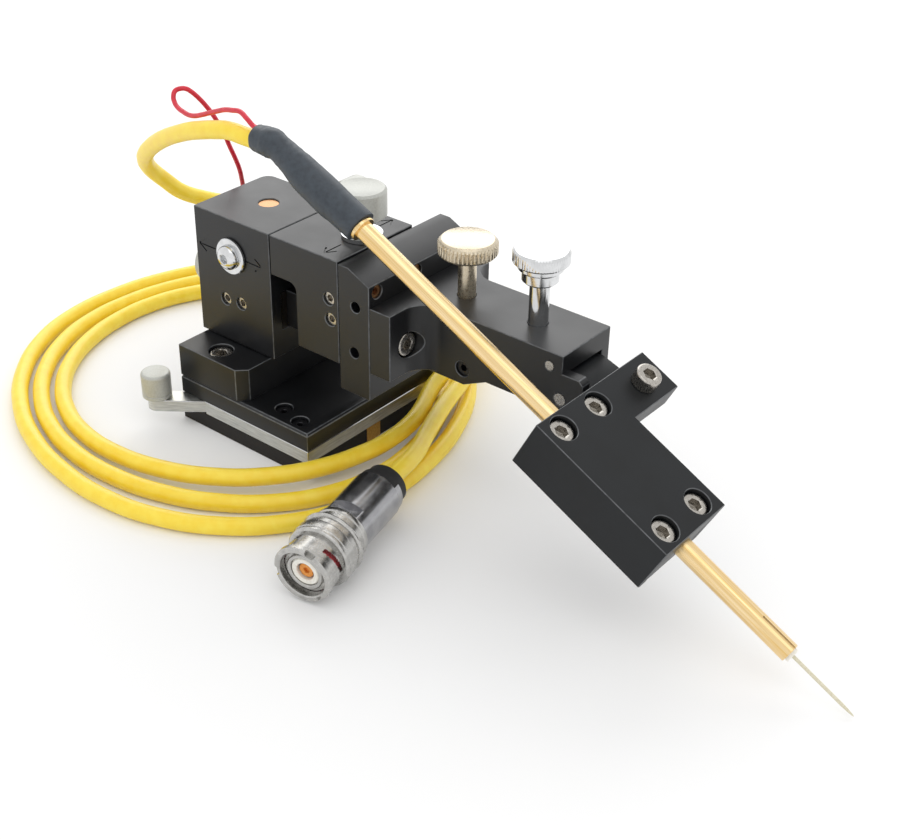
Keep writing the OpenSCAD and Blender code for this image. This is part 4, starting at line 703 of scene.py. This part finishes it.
# Washer and button screw on the front of the left block
WASHER_R = 4.2
WASHER_T = 0.8
BUTTON_R = 2.85
BUTTON_H = 1.8
BUTTON_KEY = 2.0
BUTTON_PIN_R = 0.9
BUTTON_PIN_L = 4.0
BORE_R = 1.6
WASHER_SIDES = 96
BUTTON_SIDES = 72
washer_outline = [
    (BORE_R, 0), (WASHER_R - 0.12, 0), (WASHER_R, 0.12), (WASHER_R, WASHER_T - 0.2),
    (WASHER_R - 0.2, WASHER_T), (BORE_R, WASHER_T)]
washer = turned(washer_outline, WASHER_SIDES, joined=True)
on_axis("y_washer", (0, -1, 0), washer, "front_washer", [polished_steel])
button_top = BUTTON_PIN_L + BUTTON_H
button_outline = [
    (0, 0), (BUTTON_PIN_R, 0), (BUTTON_PIN_R, BUTTON_PIN_L), (BUTTON_R - 0.1, BUTTON_PIN_L),
    (BUTTON_R, BUTTON_PIN_L + 0.15), (BUTTON_R * 0.97, BUTTON_PIN_L + 0.75),
    (BUTTON_R * 0.86, BUTTON_PIN_L + 1.25), (BUTTON_R * 0.68, BUTTON_PIN_L + 1.62),
    (BUTTON_KEY * SOCKET_RIM, button_top), (hexagon(BUTTON_KEY), button_top - 0.12),
    (hexagon(BUTTON_KEY), BUTTON_PIN_L + 0.7), (0, BUTTON_PIN_L + 0.5)]
on_axis("y_end_screw", (0, -1, 0), turned(button_outline, BUTTON_SIDES), "front_button_screw",
        [polished_steel])

# Needle, ground to a point over its last stretch
NEEDLE_R = 0.35
NEEDLE_TAPER = 3.0
NEEDLE_SIDES = 24
CLAMP_ALONG = (math.cos(PROBE_SLANT), 0, -math.sin(PROBE_SLANT))
needle_low, needle_high = islands("needle", facing(CLAMP_ALONG))[0]
needle_l = needle_high.z - needle_low.z
needle_outline = [
    (0, 0), (NEEDLE_R, 0), (NEEDLE_R, needle_l - NEEDLE_TAPER),
    (NEEDLE_R * 0.8, needle_l - NEEDLE_TAPER * 0.5), (NEEDLE_R * 0.35, needle_l - 0.2), (0, needle_l)]
on_axis("needle", CLAMP_ALONG, turned(needle_outline, NEEDLE_SIDES), "probe_needle", [needle_coat])


# Swept shapes

# Radius of the ring just inside each end, as a share of the end's own
END_RIM = 0.97


def swept(path, radius_at, sides):
    """A tube about a line of points; radius_at(share of the path, angle) gives its radius.

    Its ends close over flat.
    """
    line = [Vector(p) for p in path]
    along = [(line[min(i + 1, len(line) - 1)] - line[max(i - 1, 0)]).normalized() for i in range(len(line))]
    side = Vector((0, 1, 0))
    across = []
    for heading in along:
        side = (side - side.dot(heading) * heading).normalized()
        across.append((side, heading.cross(side)))
    last = len(line) - 1
    rings = [(0, 0.0), (0, END_RIM)] + [(i, 1.0) for i in range(1, last)] + [(last, END_RIM), (last, 0.0)]

    def shape(ring, angle):
        i, share = rings[ring]
        radius = max(radius_at(i / last, angle) * share, POINT_R)
        return line[i] + across[i][0] * radius * math.cos(angle) + across[i][1] * radius * math.sin(angle)
    return ring_stack(len(rings), sides, shape)


def through(points, between):
    """A smooth line through points of any size, with that many steps between neighbours."""
    rows = [Vector(p) for p in points]
    ends = [2 * rows[0] - rows[1]] + rows + [2 * rows[-1] - rows[-2]]
    line = []
    for a, b, c, d in zip(ends, ends[1:], ends[2:], ends[3:]):
        for step in range(between):
            t = step / between
            line.append(0.5 * (2 * b + (c - a) * t + (2 * a - 5 * b + 4 * c - d) * t * t
                               + (3 * b - a - 3 * c + d) * t * t * t))
    return line + [rows[-1]]


SLEEVE_R = 3.75
SLEEVE_STEPS = 8
SLEEVE_SIDES = 40
# Share of the sleeve's length at which its creases start, and over which they grow
CREASE_FROM = 0.25
CREASE_FOR = 0.4
# Height of the creases and how far the skin lies in, as shares of the radius
BROAD_CREASE = 0.05
FINE_CREASE = 0.03
SKIN_IN = 0.01
# How fast the creases change from ring to ring and round the sleeve
BROAD_RATES = (0.11, 1.6)
FINE_RATES = (0.35, 2.5)
# Keeps the fine creases from repeating the broad ones
FINE_SHIFT = 9
# The creases stay soft: only edges past this many degrees are sharp
SLEEVE_SHARP_FROM = 60
# Middle line of the shrink sleeve, from the tube's rim to the cable, with its radius as a share
SLEEVE_STATIONS = [
    (48.73, 8.65, 60.49, 0.94), (47.88, 8.65, 60.92, 0.95), (43.5, 8.65, 62.9, 0.96), (41.5, 8.65, 63.7, 1),
    (38, 8.65, 65.4, 1), (34.5, 8.65, 67.1, 0.97), (31.5, 8.65, 68.8, 0.9), (29, 8.65, 70.2, 0.8),
    (27, 8.65, 71.1, 0.76), (25, 8.65, 71.7, 0.84), (23, 8.65, 71.8, 0.82), (20.6, 8.65, 71.8, 0.77)]
sleeve_line = through([(x, y, z) for x, y, z, _ in SLEEVE_STATIONS], SLEEVE_STEPS)
sleeve_shares = [v.x for v in through([(share, 0, 0) for _, _, _, share in SLEEVE_STATIONS], SLEEVE_STEPS)]


def sleeve_radius(share, angle):
    """Radius of the shrunk sleeve, with its creases near the step down to the cable."""
    ring = share * (len(sleeve_shares) - 1)
    creased = smooth_step((share - CREASE_FROM) / CREASE_FOR)
    across, up = math.cos(angle), math.sin(angle)
    along, around = BROAD_RATES
    broad = noise.noise(Vector((ring * along, around * across, around * up)))
    along, around = FINE_RATES
    fine = noise.noise(Vector((ring * along, around * across + FINE_SHIFT, around * up)))
    crease = creased * (BROAD_CREASE * broad + FINE_CREASE * fine)
    return SLEEVE_R * sleeve_shares[round(ring)] * (1 + crease - SKIN_IN)


sleeve = swept(sleeve_line, sleeve_radius, SLEEVE_SIDES)
soften(sleeve, SLEEVE_SHARP_FROM)
add_piece("shrink_sleeve_skin", sleeve, ["shrink_sleeve"], [shrink_tube])

# Plug, in a frame of its own: z runs forward from its rear face and y up
PLUG_TURN = math.radians(11.1)
PLUG_NOD = math.radians(93)
SHELL_SIDES = 192
COLLAR_SIDES = 128
BODY_SIDES = 96
RING_SIDES = 144
INSUL_SIDES = 72
CONTACT_SIDES = 96
plug_frame = (Matrix.Translation(PLUG_AT) @ Matrix.Rotation(PLUG_TURN, 4, "Z")
              @ Matrix.Rotation(PLUG_NOD, 4, "X"))
SHELL_Z = (2.0, 17.8)
SHELL_R = 5.65
SHELL_REAR_L = 2.2
FLAT_L = 2.8
FLAT_DEPTH = 1.2
COLLAR_R = 6.1
RING_Z = (21.25, 27.2)
RING_R = 7.15
RING_BORE_R = 4.15
MOUTH_R = 6.0
PLUG_WALL = 0.9
FLANGE_Z = (31.4, 33.0)
FLANGE_R = 6.45
BODY_R = 4.1
BODY_END = 32.0
INSUL_R = 3.15
INSUL_END = 31.8
# Room left between the collar and the turning ring
RING_GAP = 0.05


def on_plug(name, bm, nodes, finishes):
    """Puts a shape made in the plug's frame in place."""
    bm.transform(plug_frame)
    soften(bm)
    return add_piece(name, bm, nodes, finishes)


def wrench_flats(radius, flat):
    """Radius of a round bar with a flat milled deep into its top and bottom."""
    return lambda angle: min(radius, (radius - flat) / max(abs(math.sin(angle)), 0.01))


# Back shell: a dark chromed barrel with a stepped rear end, and wrench flats beside the collar
shell_flats = wrench_flats(SHELL_R, FLAT_DEPTH)
shell_step = SHELL_Z[0] + SHELL_REAR_L
flat_from = SHELL_Z[1] - FLAT_L
shell_outline = [
    (0, SHELL_Z[0]), (SHELL_R - 0.9, SHELL_Z[0]), (SHELL_R - 0.35, SHELL_Z[0] + 0.5),
    (SHELL_R - 0.25, shell_step - 0.3), (SHELL_R - 0.3, shell_step), (SHELL_R - 0.15, shell_step + 0.02),
    (SHELL_R, shell_step + 0.25), (SHELL_R, flat_from - 0.02), (shell_flats, flat_from),
    (shell_flats, SHELL_Z[1]), (0, SHELL_Z[1])]
shell = turned(shell_outline, SHELL_SIDES)
# The rubber boot covers the shell's rear where it lies above this height
BOOT_ABOVE = 0.55 * SHELL_R
for face in shell.faces:
    middle = face.calc_center_median()
    face.material_index = int(middle.z < shell_step and middle.y > BOOT_ABOVE)
back_shell = on_plug("plug_back_shell", shell, ["plug_shell"], [dark_chrome, rubber])

# Collar between the shell and the ring, with a raised rim at its rear
collar_end = RING_Z[0] - RING_GAP
collar_outline = [
    (0, SHELL_Z[1]), (COLLAR_R - 0.5, SHELL_Z[1]), (COLLAR_R - 0.1, SHELL_Z[1] + 0.15),
    (COLLAR_R, SHELL_Z[1] + 0.4), (COLLAR_R, SHELL_Z[1] + 1.1), (COLLAR_R - 0.25, SHELL_Z[1] + 1.35),
    (COLLAR_R - 0.25, RING_Z[0] - 0.4), (COLLAR_R - 0.6, collar_end), (0, collar_end)]
collar = on_plug("plug_collar", turned(collar_outline, COLLAR_SIDES), ["plug_nut"], [nickel])

# Body: a tube round the white insulator, with a spring washer on it in front of the seal
WASHER_Z = (30.8, 31.1)
SPRING_WASHER_R = 4.95
body_bore = BODY_R - PLUG_WALL
body_outline = [
    (0, collar_end), (BODY_R, collar_end), (BODY_R, WASHER_Z[0]), (SPRING_WASHER_R, WASHER_Z[0]),
    (SPRING_WASHER_R, WASHER_Z[1]), (BODY_R, WASHER_Z[1]), (BODY_R, BODY_END - 0.2),
    (BODY_R - 0.2, BODY_END), (body_bore + 0.15, BODY_END), (body_bore, BODY_END - 0.15),
    (body_bore, RING_Z[1]), (0, RING_Z[1])]
body_tube = on_plug("plug_body_tube", turned(body_outline, BODY_SIDES), ["plug_body"], [nickel])

# Coupling ring: two smooth rims with a groove between them, each with its edges rolled over
coupling_outline = [
    (RING_BORE_R, RING_Z[0]), (RING_R - 1.0, RING_Z[0]),
    *arc(RING_R - 0.4, RING_Z[0] + 0.45, 0.4, -90, 60, 5),
    (RING_R - 0.32, RING_Z[0] + 1.0), (RING_R - 0.55, RING_Z[0] + 1.1), (RING_R - 0.55, RING_Z[0] + 2.4),
    (RING_R - 0.3, RING_Z[0] + 2.5), *arc(RING_R - 0.35, RING_Z[0] + 2.95, 0.35, -60, 0, 3),
    (RING_R, RING_Z[1] - 1.3), (RING_R - 0.15, RING_Z[1] - 1.1),
    *arc(RING_R - 0.7, RING_Z[1] - 0.6, 0.6, 0, 90, 5), (RING_BORE_R, RING_Z[1])]
coupling = turned(coupling_outline, RING_SIDES, joined=True)
grip = on_plug("plug_coupling_grip", coupling, ["plug_ring"], [nickel])

NOTCH_AT = [math.radians(turn) for turn in (70, 190, 310)]
NOTCH_HALF = 0.16


def notched(radius, floor):
    """Radius of the flange with its lug notches cut down to floor."""
    def at(angle):
        near = min(abs((angle - n + math.pi) % (2 * math.pi) - math.pi) for n in NOTCH_AT)
        return floor if near < NOTCH_HALF else radius
    return at


inner_r = MOUTH_R - PLUG_WALL
flange_mid = (FLANGE_Z[0] + FLANGE_Z[1]) / 2
notch_floor = inner_r + 0.3
flange_outline = [
    (inner_r, FLANGE_Z[0]), (FLANGE_R - 0.25, FLANGE_Z[0]), (FLANGE_R, FLANGE_Z[0] + 0.25),
    (FLANGE_R, flange_mid), (notched(FLANGE_R, notch_floor), flange_mid + 0.01),
    (notched(FLANGE_R, notch_floor), FLANGE_Z[1] - 0.3), (notched(FLANGE_R - 0.3, notch_floor), FLANGE_Z[1]),
    (inner_r + 0.2, FLANGE_Z[1]), (inner_r, FLANGE_Z[1] - 0.2)]
front = turned(flange_outline, RING_SIDES, joined=True)
flange = on_plug("plug_front_flange", front, ["plug_ring"], [nickel])

# Bayonet sleeve: a thin tube with slanting windows, given in degrees, that show the seal
WINDOWS = [(-2, 58), (118, 178), (238, 298)]
WINDOW_Z = (27.5, 28.6)
WINDOW_RISE = 1.5
MOUTH_RINGS = 26


def window_open(middle):
    """Whether a place on the bayonet sleeve is in one of its windows."""
    turn = math.degrees(math.atan2(middle.y, middle.x)) % 360
    for start, end in WINDOWS:
        share = ((turn - start) % 360) / (end - start)
        lift = share * WINDOW_RISE
        if share < 1 and WINDOW_Z[0] + lift < middle.z < WINDOW_Z[1] + lift:
            return True
    return False


# The sleeve starts inside the ring and ends inside the flange
mouth_from = RING_Z[1] - 0.1
mouth_l = FLANGE_Z[0] - RING_Z[1] + 0.3
mouth_outline = [(MOUTH_R - 0.02, mouth_from + mouth_l * i / MOUTH_RINGS) for i in range(MOUTH_RINGS + 1)]
mouth = turned(mouth_outline, RING_SIDES)
cut = [face for face in mouth.faces if window_open(face.calc_center_median())]
bmesh.ops.delete(mouth, geom=cut, context="FACES")
bmesh.ops.solidify(mouth, geom=mouth.faces[:], thickness=PLUG_WALL)
bayonet_sleeve = on_plug("plug_bayonet_sleeve", mouth, ["plug_ring"], [nickel])

# Insulator ring with the slotted contact inside it
CONTACT_R = 1.6
SLITS = 4
SLIT_DEPTH = 0.55
# Where a slit starts, counted from a spring's middle as a share of the springs' pitch
SLIT_FROM = 0.42
INSUL_BORE_R = CONTACT_R + 0.35
insulator_outline = [
    (0, RING_Z[1]), (INSUL_R, RING_Z[1]), (INSUL_R, INSUL_END - 0.25), (INSUL_R - 0.25, INSUL_END),
    (CONTACT_R + 0.5, INSUL_END), (INSUL_BORE_R, INSUL_END - 0.15), (INSUL_BORE_R, RING_Z[1] + 0.5),
    (0, RING_Z[1] + 0.5)]
insulator_ring = on_plug("plug_insulator", turned(insulator_outline, INSUL_SIDES), ["plug_contact"],
                         [insulator])


def slit(angle):
    """Radius of the contact with the slits between its springs."""
    return CONTACT_R - (SLIT_DEPTH if abs((angle * SLITS / (2 * math.pi)) % 1 - 0.5) > SLIT_FROM else 0)


contact_outline = [
    (0, RING_Z[1] + 0.4), (CONTACT_R, RING_Z[1] + 0.4), (slit, INSUL_END - 1.2), (slit, INSUL_END - 0.6),
    (CONTACT_R - 0.15, INSUL_END - 0.5), (CONTACT_R - 0.85, INSUL_END - 0.5),
    (CONTACT_R - 0.95, INSUL_END - 0.6), (CONTACT_R - 0.95, INSUL_END - 1.1), (0, INSUL_END - 1.2)]
contact = on_plug("plug_socket_contact", turned(contact_outline, CONTACT_SIDES), ["plug_contact"],
                  [contact_bronze])

plug_pieces = [frame["nodes"]["plug_bush"], back_shell, collar, body_tube, insulator_ring, contact, grip,
               flange, bayonet_sleeve, frame["nodes"]["plug_seal"]]
add_cord("signal_cable", signal_cable_route, CABLE_D, cable_jacket,
         ["cable_rise", "cable_loops", "cable_tail"], far_end="plug", stiffness="medium", lay="coiled",
         with_pieces=plug_pieces)
add_cord("earth_lead", WIRE_ROUTE, WIRE_D, wire_jacket, ["earth_wire"], far_end="bare", stiffness="limp",
         lay="hanging", with_pieces=[frame["nodes"]["wire_tip"]])


# Floor, backdrop and light
def seen_directly(tree):
    """1 for rays from the camera or off gloss or glass, 0 for those that light a surface."""
    path = add_node(tree, "ShaderNodeLightPath")
    shiny = add_node(tree, "ShaderNodeMath", {"operation": "MAXIMUM"},
                     {0: path.outputs["Is Glossy Ray"], 1: path.outputs["Is Transmission Ray"]})
    return add_node(tree, "ShaderNodeMath", {"operation": "MAXIMUM"},
                    {0: path.outputs["Is Camera Ray"], 1: shiny.outputs["Value"]}).outputs["Value"]


AMBIENT = 0.95
BACKDROP = 0.96
world = bpy.data.worlds.new("pale_room")
scene.world = world
world.use_nodes = True
backdrop = world.node_tree.nodes["Background"]
backdrop.inputs["Color"].default_value = (1, 1, 1, 1)
level = add_node(world.node_tree, "ShaderNodeMapRange", {"To Min": AMBIENT, "To Max": BACKDROP},
                 {"Value": seen_directly(world.node_tree)})
world.node_tree.links.new(level.outputs["Result"], backdrop.inputs["Strength"])

# Pale paper sweep under the object, matt, lifted to near white where it is seen
FLOOR_HALF = 3.0
FLOOR_LIFT = 0.05
floor_bm = bmesh.new()
bmesh.ops.create_grid(floor_bm, x_segments=1, y_segments=1, size=FLOOR_HALF)
floor_mesh = bpy.data.meshes.new("floor")
floor_bm.to_mesh(floor_mesh)
floor_bm.free()
floor = bpy.data.objects.new("floor", floor_mesh)
scene.collection.objects.link(floor)
paper = finish("pale_paper", "#f0f0f0", 0.9, {"Specular IOR Level": 0.0, "Emission Color": (1, 1, 1, 1)})
paper_lift = add_node(paper.node_tree, "ShaderNodeMath", {"operation": "MULTIPLY", 1: FLOOR_LIFT},
                      {0: seen_directly(paper.node_tree)})
paper.node_tree.links.new(paper_lift.outputs["Value"],
                          paper.node_tree.nodes["Principled BSDF"].inputs["Emission Strength"])
floor_mesh.materials.append(paper)


# The middle of the object, in mm, at which the lights point
LIT_MIDDLE = (45, 10, 30)


def softbox(name, toward, distance, width, height, radiance):
    """A soft rectangle of light that faces the object from a direction."""
    light = bpy.data.lights.new(name, "AREA")
    light.shape = "RECTANGLE"
    light.size = width
    light.size_y = height
    light.energy = radiance * math.pi * width * height
    lamp = bpy.data.objects.new(name, light)
    scene.collection.objects.link(lamp)
    away = Vector(toward).normalized()
    lamp.location = spot(*LIT_MIDDLE) + away * distance
    lamp.rotation_euler = away.to_track_quat("Z", "Y").to_euler()
    lamp.visible_camera = False


softbox("back_softbox", toward=(-0.526, 0.661, 0.535), distance=1.4, width=1.3, height=1.0, radiance=1.8)
softbox("top_softbox", toward=(0.25, -0.2, 1.0), distance=1.5, width=1.2, height=1.2, radiance=0.5)
